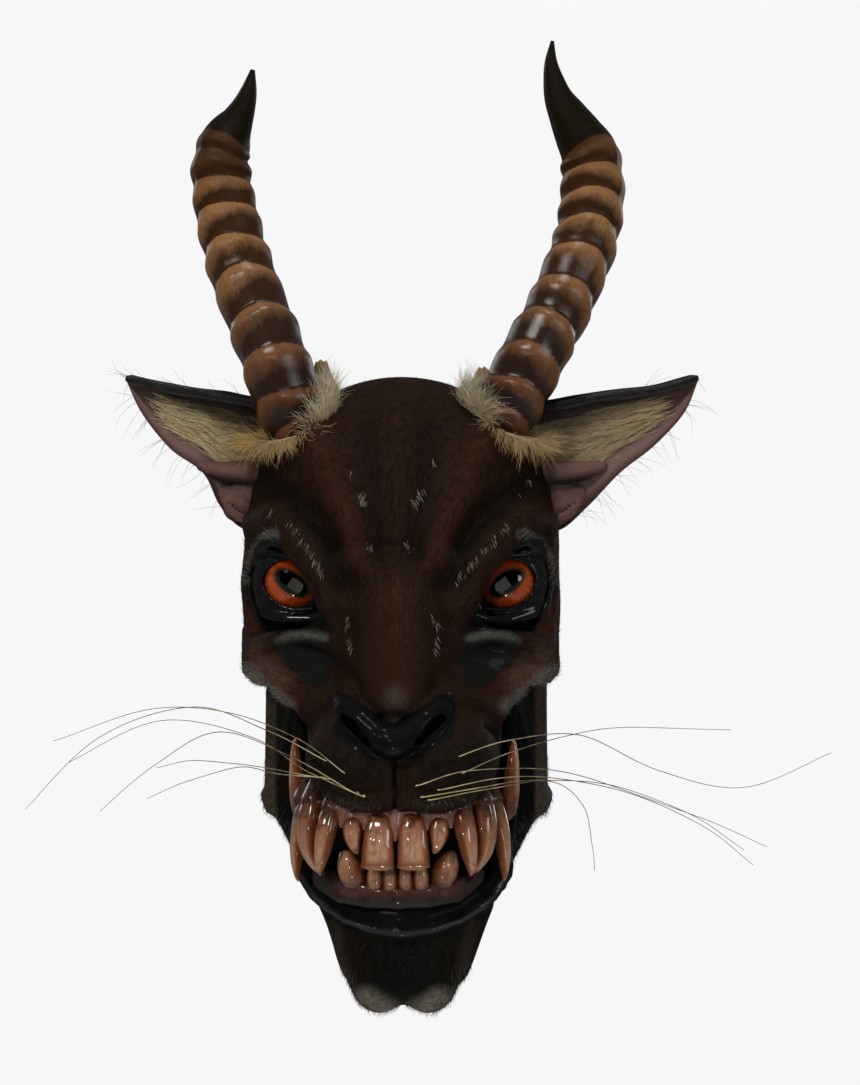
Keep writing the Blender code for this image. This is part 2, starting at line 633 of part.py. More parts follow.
def build_hinge(side):
    """A bolt through the cheek and the jaw plate, with a leather washer and a nut inside."""
    where = side_name(side)
    y, z = PIVOT
    plate = JAW_X * side + RAMUS[0]
    bm = bmesh.new()
    stops = [Vector((v * side, y, z)) for v in (HEAD_SEAT + 3, HEAD_SEAT + GAP,
                                                HEAD_SEAT + GAP - 0.01, plate - 9)]
    radii = (7, 7, BOLT_RADIUS, BOLT_RADIUS)
    tube(bm, stops, [(r, r) for r in radii], 24, Vector((0, 0, 1)))
    finish_mesh(f"hinge_bolt_{where}", bm, "steel")
    for kind, low, high, radius, sides, made_of in (
            ("washer", plate - 2.5, plate - GAP, 8.0, 16, "leather"),
            ("nut", plate - 7.5, plate - 2.8, 6.0, 6, "steel")):
        piece = rod_object(f"hinge_{kind}_{where}", (low * side, y, z), (high * side, y, z),
                           radius, made_of, sides)
        combine(piece, rod_object(f"hinge_{kind}_bore_cutter_{where}", (60 * side, y, z),
                                  (120 * side, y, z), BOLT_RADIUS + GAP, None, sides=12))


def build_whiskers(skull):
    for where, lines in WHISKERS.items():
        for n, line in enumerate(lines, 1):
            root = Vector(line[0])
            centres = smooth_path([root + Vector((-0.2 * root.x, 22, 0)), *line], 10)
            halves = [(WHISKER_RADIUS * (1 - 0.5 * i / 9),) * 2 for i in range(10)]
            combine(tube_object(f"whisker_{where}_{n}", centres, halves, 4, "whisker",
                                Vector((0, 0, 1))), skull)


def main():
    clear_scene()
    face = build_face()
    skull = helper(carved("skull_cutter", HEAD + FEATURES, None))
    swell = skull.modifiers.new("clearance", "DISPLACE")
    swell.mid_level = 0.0
    swell.strength = 1.4 * GAP * MM
    build_teeth(gum_object("upper_gum", UPPER_ARCH, TEETH_X, 0.0, "gum"), UPPER_TEETH, TEETH_X,
                face)
    jaw = build_jaw()
    lower_gum = gum_object("lower_gum", LOWER_ARCH, LOWER_TEETH_X, 0.0, "gum")
    build_teeth(lower_gum, LOWER_TEETH, LOWER_TEETH_X, jaw)
    build_teeth(lower_gum, TUSKS, JAW_X, jaw)
    build_lining()
    for side in (-1, 1):
        build_eye(side)
        build_horn(side, skull)
        build_collar(side, skull)
        build_hide(side, skull)
        build_ear(side, skull)
        build_hinge(side)
    build_whiskers(skull)


main()
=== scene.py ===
"""The looks of a horned beast dance mask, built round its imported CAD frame.

Everything is measured in millimetres in the CAD's own frame: +X to the viewer's right, -Y
towards the viewer, +Z up, with the origin at the top centre of the back rim. A mesh is turned
into metres when it is made. Left and right are the viewer's.
"""

import math

import bmesh
import bpy
import numpy as np
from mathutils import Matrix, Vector


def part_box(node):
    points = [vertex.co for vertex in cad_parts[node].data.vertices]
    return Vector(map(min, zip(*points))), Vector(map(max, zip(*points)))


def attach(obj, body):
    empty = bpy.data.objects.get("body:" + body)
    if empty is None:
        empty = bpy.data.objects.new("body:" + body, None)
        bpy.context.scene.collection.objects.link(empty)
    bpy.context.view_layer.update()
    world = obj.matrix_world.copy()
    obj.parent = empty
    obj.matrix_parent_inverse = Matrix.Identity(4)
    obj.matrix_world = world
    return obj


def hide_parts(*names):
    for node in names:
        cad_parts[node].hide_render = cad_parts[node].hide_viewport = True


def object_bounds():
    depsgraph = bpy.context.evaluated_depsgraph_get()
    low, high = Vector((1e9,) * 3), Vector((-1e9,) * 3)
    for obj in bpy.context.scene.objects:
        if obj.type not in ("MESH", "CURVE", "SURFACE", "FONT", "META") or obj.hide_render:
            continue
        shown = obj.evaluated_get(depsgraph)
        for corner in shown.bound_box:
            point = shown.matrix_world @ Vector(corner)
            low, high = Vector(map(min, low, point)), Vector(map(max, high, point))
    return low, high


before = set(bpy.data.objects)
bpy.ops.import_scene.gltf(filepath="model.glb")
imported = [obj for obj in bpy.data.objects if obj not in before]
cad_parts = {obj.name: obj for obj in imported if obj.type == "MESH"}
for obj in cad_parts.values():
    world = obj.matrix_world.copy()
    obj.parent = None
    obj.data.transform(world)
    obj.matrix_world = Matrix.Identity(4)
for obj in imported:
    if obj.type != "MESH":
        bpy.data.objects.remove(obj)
CAD_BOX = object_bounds()
rng = np.random.default_rng(11)

MM = 0.001
STEP = 1.5       # fineness of the big carvings
FINE = 0.8       # and of the small ones
JAW_X = 4.0                             # middle plane of the jaw
TEETH_X = 0.0                           # middle of the upper teeth
LOWER_TEETH_X = 1.0                     # middle of the lower teeth, but for the tusks
EYE = np.array((75.0, -58.0, -134.0))
EYE_RADIUS = 24.0
FLOW_CENTRE = (0.0, -205.0)             # X and Z from which the fur runs outwards
HINGE = (-31, -188)                     # Y and Z of the jaw's hinge
NOSE_X = -1.5                           # middle of the nose pad
MUZZLE_X = 3.5                          # middle of the whisker pads
PUPIL_LEAN = math.radians(35)           # how far a pupil's slot leans inwards
BLACK = (0.0032, 0.0036, 0.0036)        # the paint of the nose and the eyes' sockets
BARE_WOOD = (0.30, 0.19, 0.10)
SIDES = (-1, 1)


def side_name(side):
    return "left" if side < 0 else "right"


# ---------------------------------------------------------------- meshes

def mesh_object(name, points, faces, material, attributes=None, smooth=True):
    """An object from points in millimetres. faces is an array of quads, or a list of any."""
    mesh = bpy.data.meshes.new(name)
    mesh.from_pydata((np.asarray(points) * MM).tolist(), [], [list(map(int, f)) for f in faces])
    if smooth:
        mesh.shade_smooth()
    for key, values in (attributes or {}).items():
        values = np.asarray(values, np.float32)
        if key == "paint":
            layer = mesh.attributes.new(key, "FLOAT_COLOR", "POINT")
            rgba = np.ones((len(values), 4), np.float32)
            rgba[:, :3] = values
            layer.data.foreach_set("color", rgba.ravel())
        elif values.ndim == 2:
            layer = mesh.attributes.new(key, "FLOAT_VECTOR", "POINT")
            layer.data.foreach_set("vector", values.ravel())
        else:
            layer = mesh.attributes.new(key, "FLOAT", "POINT")
            layer.data.foreach_set("value", values)
    obj = bpy.data.objects.new(name, mesh)
    bpy.context.scene.collection.objects.link(obj)
    mesh.materials.append(material)
    return obj


def place(obj, body, slot, *nodes):
    """Hands a piece to the body it moves with and hides the CAD nodes it stands for; its finish, slot,
    is not used.
    """
    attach(obj, body)
    if nodes:
        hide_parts(*nodes)
    return obj


def smooth_path(points, count):
    """Points evenly spaced in number on a Catmull-Rom curve through rows of numbers."""
    rows = np.asarray(points, float)
    rows = np.vstack([2 * rows[0] - rows[1], rows, 2 * rows[-1] - rows[-2]])
    at = np.linspace(0, len(rows) - 3 - 1e-6, count)
    i = at.astype(int)
    t = (at - i)[:, None]
    a, b, c, d = rows[i], rows[i + 1], rows[i + 2], rows[i + 3]
    return 0.5 * (2 * b + (c - a) * t + (2 * a - 5 * b + 4 * c - d) * t ** 2
                  + (3 * b - a - 3 * c + d) * t ** 3)


def unit(ways):
    """Directions of length 1."""
    return ways / np.maximum(np.linalg.norm(ways, axis=-1, keepdims=True), 1e-9)


def tube_grid(centres, halves, sides, hint):
    """Points and faces of a closed tube, and the angles round it.

    halves(i, angles) gives the two half sizes of ring i, and hint is where the first one points.
    """
    ahead = unit(np.gradient(centres, axis=0))
    hint = np.asarray(hint, float)
    first = unit(hint - ahead * (ahead @ hint)[:, None])
    second = np.cross(ahead, first)
    angles = np.linspace(0, math.tau, sides, endpoint=False)
    wide, deep = halves(np.arange(len(centres))[:, None], angles[None, :])
    points = (centres[:, None, :] + first[:, None, :] * (wide * np.cos(angles))[..., None]
              + second[:, None, :] * (deep * np.sin(angles))[..., None]).reshape(-1, 3)
    faces = []
    for i in range(len(centres) - 1):
        for k in range(sides):
            n = (k + 1) % sides
            faces.append((i * sides + k, i * sides + n, (i + 1) * sides + n, (i + 1) * sides + k))
    faces.append(tuple(range(sides))[::-1])
    last = (len(centres) - 1) * sides
    faces.append(tuple(range(last, last + sides)))
    return points, faces, angles


# ---------------------------------------------------------------- clay

class Clay:
    """A block of clay: a grid of distances to its surface in millimetres, negative inside."""

    def __init__(self, low, high, step, middle=0.0):
        self.low = np.array(low, float)
        self.step = step
        self.middle = middle
        shape = np.ceil((np.array(high) - self.low) / step).astype(int) + 1
        self.axes = [(self.low[i] + step * np.arange(shape[i])).astype(np.float32)
                     for i in range(3)]
        self.field = np.full(shape, 40.0, np.float32)

    def press(self, distance, low, high, blend, cut):
        """Adds or cuts a shape inside a window, with its edge rounded by blend."""
        reach = blend + 3 * self.step
        window = []
        for axis, lo, hi in zip(self.axes, low, high):
            a, b = np.searchsorted(axis, (lo - reach, hi + reach))
            if a >= b:
                return
            window.append(slice(a, b))
        window = tuple(window)
        x = self.axes[0][window[0]][:, None, None]
        y = self.axes[1][window[1]][None, :, None]
        z = self.axes[2][window[2]][None, None, :]
        new = distance(x, y, z)
        old = self.field[window]
        if cut:
            old, new = -old, new
        near = np.maximum(blend - np.abs(old - new), 0) / blend
        both = np.minimum(old, new) - near * near * blend * 0.25
        self.field[window] = -both if cut else both

    def ball(self, centre, radii, blend=6.0, cut=False, turn=0.0, sides=SIDES):
        """An ellipsoid, turned about Y by turn degrees. Off the middle, it is on both sides."""
        for side in sides if centre[0] else (1,):
            cx = self.middle + centre[0] * side
            cos, sin = math.cos(math.radians(turn * side)), math.sin(math.radians(turn * side))

            def distance(x, y, z):
                dx, dy, dz = x - cx, y - centre[1], z - centre[2]
                if turn:
                    dx, dz = dx * cos + dz * sin, dz * cos - dx * sin
                k = np.sqrt((dx / radii[0]) ** 2 + (dy / radii[1]) ** 2 + (dz / radii[2]) ** 2)
                slope = np.sqrt((dx / radii[0] ** 2) ** 2 + (dy / radii[1] ** 2) ** 2
                                + (dz / radii[2] ** 2) ** 2)
                return k * (k - 1) / np.maximum(slope, 1e-6)

            r = [max(radii[0], radii[2])] * 3 if turn else list(radii)
            r[1] = radii[1]
            at = (cx, centre[1], centre[2])
            self.press(distance, [c - q for c, q in zip(at, r)], [c + q for c, q in zip(at, r)],
                       blend, cut)

    def chain(self, knots, blend=6.0, cut=False, sides=SIDES):
        """Round rods between (x, y, z, radius) knots."""
        for side in sides if any(k[0] for k in knots) else (1,):
            rows = np.array([(self.middle + k[0] * side, k[1], k[2], k[3]) for k in knots], float)

            def distance(x, y, z):
                best = None
                for a, b in zip(rows, rows[1:]):
                    run = b[:3] - a[:3]
                    t = ((x - a[0]) * run[0] + (y - a[1]) * run[1] + (z - a[2]) * run[2])
                    t = np.clip(t / (run @ run), 0, 1)
                    gap = np.sqrt((x - a[0] - t * run[0]) ** 2 + (y - a[1] - t * run[1]) ** 2
                                  + (z - a[2] - t * run[2]) ** 2) - (a[3] + t * (b[3] - a[3]))
                    best = gap if best is None else np.minimum(best, gap)
                return best

            low = (rows[:, :3] - rows[:, 3:]).min(0)
            high = (rows[:, :3] + rows[:, 3:]).max(0)
            self.press(distance, low, high, blend, cut)

    def box(self, low, high, blend=1.0):
        """Cuts a box, which isn't mirrored."""
        low, high = np.array(low, float), np.array(high, float)
        mid, half = (low + high) / 2, (high - low) / 2

        def distance(x, y, z):
            return np.maximum(np.maximum(np.abs(x - mid[0]) - half[0], np.abs(y - mid[1]) - half[1]),
                              np.abs(z - mid[2]) - half[2])

        self.press(distance, low, high, blend, True)

    def web(self, a, b, c, thickness, blend=4.0, sides=SIDES, cut=False):
        """A flat triangle of clay between three points, with rounded edges."""
        for side in sides:
            p = [np.array((self.middle + q[0] * side, q[1], q[2]), float) for q in (a, b, c)]
            normal = np.cross(p[1] - p[0], p[2] - p[0])
            normal /= np.linalg.norm(normal)

            def distance(x, y, z):
                def dot(v, o):
                    return (x - o[0]) * v[0] + (y - o[1]) * v[1] + (z - o[2]) * v[2]
                height = dot(normal, p[0])
                flat = -1e9
                rim = None
                for i in range(3):
                    edge = p[(i + 1) % 3] - p[i]
                    out = np.cross(edge, normal)
                    out /= np.linalg.norm(out)
                    flat = np.maximum(flat, dot(out, p[i]))
                    t = np.clip(dot(edge, p[i]) / (edge @ edge), 0, 1)
                    away = [v - p[i][k] - t * edge[k] for k, v in enumerate((x, y, z))]
                    away = away[0] ** 2 + away[1] ** 2 + away[2] ** 2
                    rim = away if rim is None else np.minimum(rim, away)
                return np.where(flat < 0, np.abs(height), np.sqrt(rim)) - thickness

            pts = np.array(p)
            self.press(distance, pts.min(0) - thickness, pts.max(0) + thickness, blend, cut)

    def slit(self, a, b, back, thickness, blend=1.0, sides=SIDES):
        """A narrow cut from the front between two (x, y, z) points, as deep as y = back."""
        deep = (a[0], back, a[2]), (b[0], back, b[2])
        self.web(a, b, deep[1], thickness, blend, sides, True)
        self.web(a, deep[1], deep[0], thickness, blend, sides, True)

    def surface(self, smoothing=2):
        """Surface-net points in millimetres and quads, lightly smoothed."""
        field = self.field
        corners = [(i, j, k) for i in (0, 1) for j in (0, 1) for k in (0, 1)]
        size = np.array(field.shape) - 1
        parts = [field[i:i + size[0], j:j + size[1], k:k + size[2]] for i, j, k in corners]
        count = sum((p < 0).astype(np.int8) for p in parts)
        mixed = (count > 0) & (count < 8)
        index = np.full(size, -1, np.int64)
        cells = np.argwhere(mixed)
        index[mixed] = np.arange(len(cells))
        values = np.stack([p[mixed] for p in parts], 1)
        total = np.zeros((len(cells), 3))
        hits = np.zeros(len(cells))
        for a in range(8):
            for b in range(a + 1, 8):
                pa, pb = np.array(corners[a]), np.array(corners[b])
                if np.abs(pa - pb).sum() != 1:
                    continue
                va, vb = values[:, a], values[:, b]
                cross = (va < 0) != (vb < 0)
                t = np.where(cross, va / np.where(cross, va - vb, 1), 0)[:, None]
                total += np.where(cross[:, None], pa + t * (pb - pa), 0)
                hits += cross
        points = self.low + self.step * (cells + total / hits[:, None])
        quads = []
        for axis in range(3):
            u, v = [i for i in range(3) if i != axis]
            here = [slice(None)] * 3
            there = [slice(None)] * 3
            here[axis], there[axis] = slice(0, -1), slice(1, None)
            change = (field[tuple(here)] < 0) != (field[tuple(there)] < 0)
            at = np.argwhere(change)
            keep = (at[:, u] > 0) & (at[:, v] > 0) & (at[:, u] < size[u]) & (at[:, v] < size[v])
            at = at[keep]
            inside = field[tuple(at.T)] < 0
            ring = []
            for du, dv in ((1, 1), (0, 1), (0, 0), (1, 0)):
                cell = at.copy()
                cell[:, u] -= du
                cell[:, v] -= dv
                ring.append(index[tuple(cell.T)])
            quad = np.stack(ring, 1)
            flip = inside if axis == 1 else ~inside
            quad[flip] = quad[flip][:, ::-1]
            quads.append(quad)
        quads = np.vstack(quads)
        for _ in range(smoothing):
            points = relax(points, quads, 0.5)
        return points, quads


def relax(points, quads, amount):
    """One pass of moving every point towards the mean of its neighbours."""
    a = quads.ravel()
    b = np.roll(quads, -1, 1).ravel()
    n = len(points)
    count = np.bincount(a, minlength=n) + np.bincount(b, minlength=n)
    mean = np.empty_like(points)
    for i in range(3):
        mean[:, i] = (np.bincount(a, points[b, i], n) + np.bincount(b, points[a, i], n)) / count
    return points + amount * (mean - points)


def normals_of(points, quads):
    """The outward direction at each point of a mesh of quads."""
    across = np.cross(points[quads[:, 2]] - points[quads[:, 0]],
                      points[quads[:, 3]] - points[quads[:, 1]])
    out = np.zeros_like(points)
    for k in range(4):
        for i in range(3):
            out[:, i] += np.bincount(quads[:, k], across[:, i], len(points))
    return unit(out)


# ---------------------------------------------------------------- paint

def ease(low, high, value):
    """A smooth step from 0 at low to 1 at high, which may be the smaller of the two."""
    t = np.clip((value - low) / (high - low), 0, 1)
    return t * t * (3 - 2 * t)


def near(points, path, width, axes=(0, 2)):
    """1 on a path of points and 0 beyond width, measured in the given axes."""
    p = points[:, axes]
    best = np.full(len(p), 1e9)
    rows = np.asarray(path, float)
    if len(rows) == 1:
        rows = np.vstack([rows, rows + 1e-3])
    for a, b in zip(rows, rows[1:]):
        run = b - a
        t = np.clip(((p - a) @ run) / (run @ run), 0, 1)
        best = np.minimum(best, np.linalg.norm(p - a - t[:, None] * run, axis=1))
    return 1 - ease(0, width, best)


def layer(base, colour, mask):
    """Paints colour over base where mask is 1."""
    return base + (np.asarray(colour) - base) * np.clip(mask, 0, 1)[:, None]


def brush(base, points, strokes):
    """Paints (colour, strength, path, width) strokes over base, one after another."""
    for colour, strength, path, width in strokes:
        base = layer(base, colour, strength * near(points, path, width))
    return base


def inside_balls(points, balls):
    """True for the points inside any of the (centre, radii) balls."""
    inside = np.zeros(len(points), bool)
    for centre, radii in balls:
        inside |= np.linalg.norm((points - centre) / np.array(radii), axis=1) < 1
    return inside


def folded(points, middle=0.0):
    """Points with both halves laid on the right one."""
    out = points.copy()
    out[:, 0] = np.abs(out[:, 0] - middle)
    return out


# ---------------------------------------------------------------- shaders

class Shader:
    """A Principled material whose inputs are worked out by nodes."""

    def __init__(self, name, **fixed):
        self.material = bpy.data.materials.new(name)
        self.material.use_nodes = True
        self.tree = self.material.node_tree
        self.main = self.tree.nodes["Principled BSDF"]
        for key, value in fixed.items():
            self.main.inputs[key.replace("_", " ")].default_value = value

    def put(self, socket, value):
        """Feeds an input from another node, or sets it."""
        if isinstance(value, bpy.types.NodeSocket):
            self.tree.links.new(value, socket)
        elif isinstance(value, (tuple, list)) and len(value) == 3 and socket.type == "RGBA":
            socket.default_value = (*value, 1)
        else:
            socket.default_value = value

    def node(self, kind, output=0, settings=None, **inputs):
        """An output of a new node. An input is given by its name, or as i and its number."""
        node = self.tree.nodes.new("ShaderNode" + kind)
        for key, value in (settings or {}).items():
            setattr(node, key, value)
        for key, value in inputs.items():
            key = int(key[1:]) if key[0] == "i" and key[1:].isdigit() else key.replace("_", " ")
            self.put(node.inputs[key], value)
        return node.outputs[output]

    def attribute(self, name, output="Fac"):
        return self.node("Attribute", output, {"attribute_name": name})

    def maths(self, operation, a, b=0.0, clamp=False):
        return self.node("Math", 0, {"operation": operation, "use_clamp": clamp}, i0=a, i1=b)

    def spread(self, value, low, high, to_low=0.0, to_high=1.0):
        """Stretches low to high over to_low to to_high, and stops at both ends."""
        return self.node("MapRange", 0, {"clamp": True}, Value=value, From_Min=low, From_Max=high,
                         To_Min=to_low, To_Max=to_high)

    def mix(self, factor, a, b, blend="MIX"):
        node = self.tree.nodes.new("ShaderNodeMix")
        node.data_type = "RGBA"
        node.blend_type = blend
        self.put(node.inputs[0], factor)
        self.put(node.inputs[6], a)
        self.put(node.inputs[7], b)
        return node.outputs[2]

    def place_in(self, stretch=(1, 1, 1)):
        """The place on the object in millimetres, stretched."""
        return self.node("VectorMath", 0, {"operation": "MULTIPLY"},
                         i0=self.node("TexCoord", "Object"), i1=tuple(v / MM for v in stretch))

    def apart(self, vector):
        """The three parts of a vector."""
        node = self.tree.nodes.new("ShaderNodeSeparateXYZ")
        self.tree.links.new(vector, node.inputs[0])
        return node.outputs

    def scaled(self, factor, value):
        return self.maths("MULTIPLY", value, factor)

    def length(self, a, b):
        """The length of a vector of two parts."""
        return self.maths("SQRT", self.maths("ADD", self.maths("MULTIPLY", a, a),
                                             self.maths("MULTIPLY", b, b)))

    def shifted(self, value, wave, amount):
        """A value moved by a noise, which is taken about its middle."""
        return self.maths("ADD", value, self.scaled(amount, self.maths("SUBTRACT", wave, 0.5)))

    def noise(self, vector, size, detail=3.0, rough=0.5, bend=0.0):
        """Noise from 0 to 1 whose blobs are about size across."""
        return self.node("TexNoise", 0, None, Vector=vector, Scale=1 / size, Detail=detail,
                         Roughness=rough, Distortion=bend)

    def bump(self, height, strength, distance, below=None):
        extra = {"Normal": below} if below is not None else {}
        return self.node("Bump", 0, None, Strength=strength, Distance=distance * MM,
                         Height=height, **extra)

    def finish(self, colour, roughness, normal=None):
        """Feeds the main inputs and returns the material."""
        pairs = {"Base Color": colour, "Roughness": roughness, "Normal": normal}
        for key, value in pairs.items():
            if value is not None:
                self.put(self.main.inputs[key], value)
        return self.material


def coat_material():
    """Painted wood under short brushed fur, which runs outwards from the nose."""
    s = Shader("coat", Coat_Roughness=0.13)
    spot = s.place_in()
    px, py, pz = s.apart(spot)
    x = s.maths("SUBTRACT", px, FLOW_CENTRE[0])
    z = s.maths("SUBTRACT", pz, FLOW_CENTRE[1])
    turn = s.scaled(90.0, s.maths("ARCTAN2", x, z))
    away = s.length(x, z)
    wave = s.noise(spot, 22.0, 2.0)
    turn = s.maths("ADD", turn, s.scaled(12.0, wave))
    flow = s.node("CombineXYZ", 0, None, X=turn, Y=py, Z=s.scaled(0.13, away))
    fine = s.noise(flow, 0.75, 3.0, 0.65)
    broad = s.noise(flow, 2.2, 2.0, 0.6)
    patches = s.noise(spot, 26.0, 3.0)
    paint = s.attribute("paint", "Color")
    gloss = s.attribute("gloss")
    fur = s.maths("SUBTRACT", 1.0, gloss, clamp=True)
    strokes = s.maths("MULTIPLY", s.spread(fine, 0.48, 0.68), s.spread(patches, 0.35, 0.6, 0.35, 1))
    strokes = s.maths("MULTIPLY", strokes, fur)
    dark = s.mix(s.maths("MULTIPLY", s.spread(broad, 0.55, 0.35), fur), paint,
                 (0.55, 0.51, 0.49), "MULTIPLY")
    lit = s.mix(0.75, s.mix(1.0, paint, (1.5, 1.5, 1.5), "MULTIPLY"), (0.040, 0.028, 0.020),
                "ADD")
    colour = s.mix(s.maths("MULTIPLY", strokes, 0.22), dark, lit)
    s.put(s.main.inputs["Specular IOR Level"], s.spread(gloss, 0, 1, 0.03, 0.06))
    s.put(s.main.inputs["Coat Weight"], s.spread(gloss, 0.1, 1, 0.0, 0.42))
    rough = s.spread(gloss, 0.0, 1.0, 0.52, 0.36)
    rough = s.maths("ADD", rough, s.maths("MULTIPLY", s.spread(fine, 0.3, 0.7), 0.12))
    low = s.bump(broad, s.maths("MULTIPLY", fur, 0.22), 0.8)
    high = s.bump(fine, s.maths("MULTIPLY", fur, 0.80), 0.50, low)
    pores = s.bump(s.noise(spot, 1.1, 2.0), s.maths("MULTIPLY", gloss, 0.16), 0.3, high)
    return s.finish(colour, rough, pores)


def horn_material():
    """Polished horn: each ring is tan at its top and dark below, streaked along the horn."""
    s = Shader("horn", Coat_Roughness=0.08, Specular_IOR_Level=0.04)
    along = s.attribute("along")
    s.put(s.main.inputs["Coat Weight"], s.spread(along, 0.35, 0.66, 0.55, 0.04))
    phase = s.attribute("phase")
    grain = s.attribute("grain", "Vector")
    streaks = s.noise(grain, 0.55, 4.0, 0.62)
    blotch = s.noise(s.place_in(), 13.0, 3.0)
    edge = s.shifted(s.shifted(phase, streaks, 0.24), blotch, 0.6)
    pale = s.mix(s.spread(along, 0.20, 0.58), (0.125, 0.042, 0.017), (0.300, 0.150, 0.062))
    pale = s.mix(s.spread(along, 0.71, 0.79), pale, (0.065, 0.030, 0.012))
    deep = s.mix(s.spread(along, 0.2, 0.55), (0.019, 0.0060, 0.0032), (0.044, 0.0185, 0.0065))
    body = s.mix(s.spread(edge, 0.46, 0.90), deep, pale)
    fine = s.spread(streaks, 0.35, 0.7, 0.70, 1.12)
    body = s.mix(0.8, body, s.node("CombineXYZ", 0, None, X=fine, Y=fine, Z=fine), "MULTIPLY")
    tip = s.mix(s.spread(streaks, 0.4, 0.7), (0.006, 0.0042, 0.0022), (0.019, 0.0125, 0.0060))
    colour = s.mix(s.attribute("tip"), body, tip)
    rough = s.spread(streaks, 0.3, 0.75, 0.26, 0.44)
    normal = s.bump(streaks, 0.42, 0.40)
    s.put(s.main.inputs["Coat Normal"], normal)
    return s.finish(colour, rough, normal)


def hair_material(name, roughness=0.55, sheen=0.0):
    """Hair in its own paint, with a warm sheen."""
    s = Shader(name, Specular_IOR_Level=0.06)
    tint = s.noise(s.place_in(), 5.0, 2.0)
    colour = s.mix(s.spread(tint, 0.35, 0.7, 0, 0.35), s.attribute("paint", "Color"),
                   (0.62, 0.56, 0.50), "MULTIPLY")
    s.main.inputs["Sheen Weight"].default_value = sheen
    s.main.inputs["Sheen Tint"].default_value = (1.0, 0.80, 0.50, 1)
    return s.finish(colour, roughness)


def ear_material():
    """Wrinkled skin in its own paint, shinier where gloss is 1."""
    s = Shader("ear_skin", Specular_IOR_Level=0.20)
    spot = s.place_in()
    grain = s.noise(spot, 0.9, 4.0, 0.6)
    wrinkle = s.noise(s.place_in((0.45, 1, 1.6)), 3.0, 3.0, 0.55, 0.6)
    paint = s.attribute("paint", "Color")
    colour = s.mix(s.spread(grain, 0.42, 0.7, 0, 0.6), paint, (0.45, 0.4, 0.42), "MULTIPLY")
    colour = s.mix(s.spread(wrinkle, 0.55, 0.75, 0, 0.25), colour, (0.16, 0.095, 0.085))
    gloss = s.attribute("gloss")
    normal = s.bump(grain, 0.5, 0.3, s.bump(wrinkle, 0.45, 0.9))
    return s.finish(colour, s.spread(gloss, 0, 1, 0.62, 0.28), normal)


def resin_material():
    """Glossy tooth resin: dark roots and an amber tip, with an ashen middle where a tooth faces
    forward, a painted highlight, and dark edges where it turns away, painted shade.
    """
    s = Shader("tooth", Coat_Weight=1.0, Coat_Roughness=0.03, Subsurface_Weight=0.08,
               Subsurface_Radius=(0.004, 0.0015, 0.0006), Subsurface_Scale=1.0,
               Specular_IOR_Level=0.10)
    along = s.attribute("along")
    facing = s.attribute("facing")
    streaks = s.noise(s.attribute("grain", "Vector"), 1.3, 4.0, 0.6)
    cloud = s.noise(s.place_in(), 5.5, 3.0)
    drift = s.shifted(along, cloud, 0.45)
    colour = s.mix(s.spread(drift, 0.20, 0.56), (0.050, 0.014, 0.006), (0.35, 0.115, 0.036))
    # The ashen middle, on the part of a tooth that faces forward, is a painted highlight.
    middle = s.maths("MULTIPLY", s.spread(facing, 0.45, 0.85),
                     s.maths("MULTIPLY", s.spread(drift, 0.32, 0.60), s.spread(along, 0.95, 0.80)))
    colour = s.mix(s.maths("MULTIPLY", middle, 0.90), colour, (0.50, 0.285, 0.180))
    colour = s.mix(s.spread(along, 0.80, 0.90, 0, 0.6), colour, (0.15, 0.050, 0.016))
    colour = s.mix(s.spread(along, 0.90, 0.98, 0, 0.9), colour, (0.50, 0.230, 0.095))
    colour = s.mix(s.spread(streaks, 0.50, 0.68, 0, 0.55), colour, (0.085, 0.030, 0.011))
    # Darker where the tooth turns away from the front: painted shade.
    colour = s.mix(s.spread(facing, 0.62, 0.20, 0, 0.9), colour, (0.11, 0.029, 0.009))
    colour = s.mix(s.spread(cloud, 0.48, 0.66, 0, 0.5), colour, (0.24, 0.068, 0.018))
    normal = s.bump(cloud, 0.35, 1.8, s.bump(streaks, 0.22, 0.45))
    return s.finish(colour, s.spread(cloud, 0.3, 0.7, 0.14, 0.28), normal)


def gum_material():
    """Wet gums, with cloudy patches and fine veins over their own paint."""
    s = Shader("gum", Coat_Weight=0.55, Coat_Roughness=0.04, Subsurface_Weight=0.08,
               Subsurface_Radius=(0.003, 0.001, 0.0006), Subsurface_Scale=1.0,
               Specular_IOR_Level=0.15)
    spot = s.place_in()
    cloud = s.noise(spot, 4.0, 4.0, 0.6)
    veins = s.noise(spot, 1.2, 3.0, 0.6, 0.8)
    paint = s.attribute("paint", "Color")
    colour = s.mix(s.spread(cloud, 0.35, 0.65), paint,
                   s.mix(1.0, paint, (0.55, 0.42, 0.42), "MULTIPLY"))
    colour = s.mix(s.spread(veins, 0.55, 0.72, 0, 0.35), colour,
                   s.mix(1.0, paint, (1.5, 1.5, 1.5), "MULTIPLY"))
    return s.finish(colour, s.spread(veins, 0.3, 0.7, 0.10, 0.26), s.bump(veins, 0.5, 0.8))


def lid_material():
    """Wet black paint over fine creases."""
    s = Shader("lid", Coat_Weight=0.40, Coat_Roughness=0.10, Specular_IOR_Level=0.02)
    spot = s.place_in()
    crease = s.noise(s.place_in((0.55, 1, 1.7)), 1.6, 4.0, 0.6, 0.5)
    tone = s.noise(spot, 7.0, 2.0)
    colour = s.mix(s.spread(tone, 0.4, 0.7), (0.0018, 0.0020, 0.0020), (0.006, 0.0075, 0.0075))
    return s.finish(colour, s.spread(crease, 0.3, 0.7, 0.30, 0.50), s.bump(crease, 0.6, 0.6))


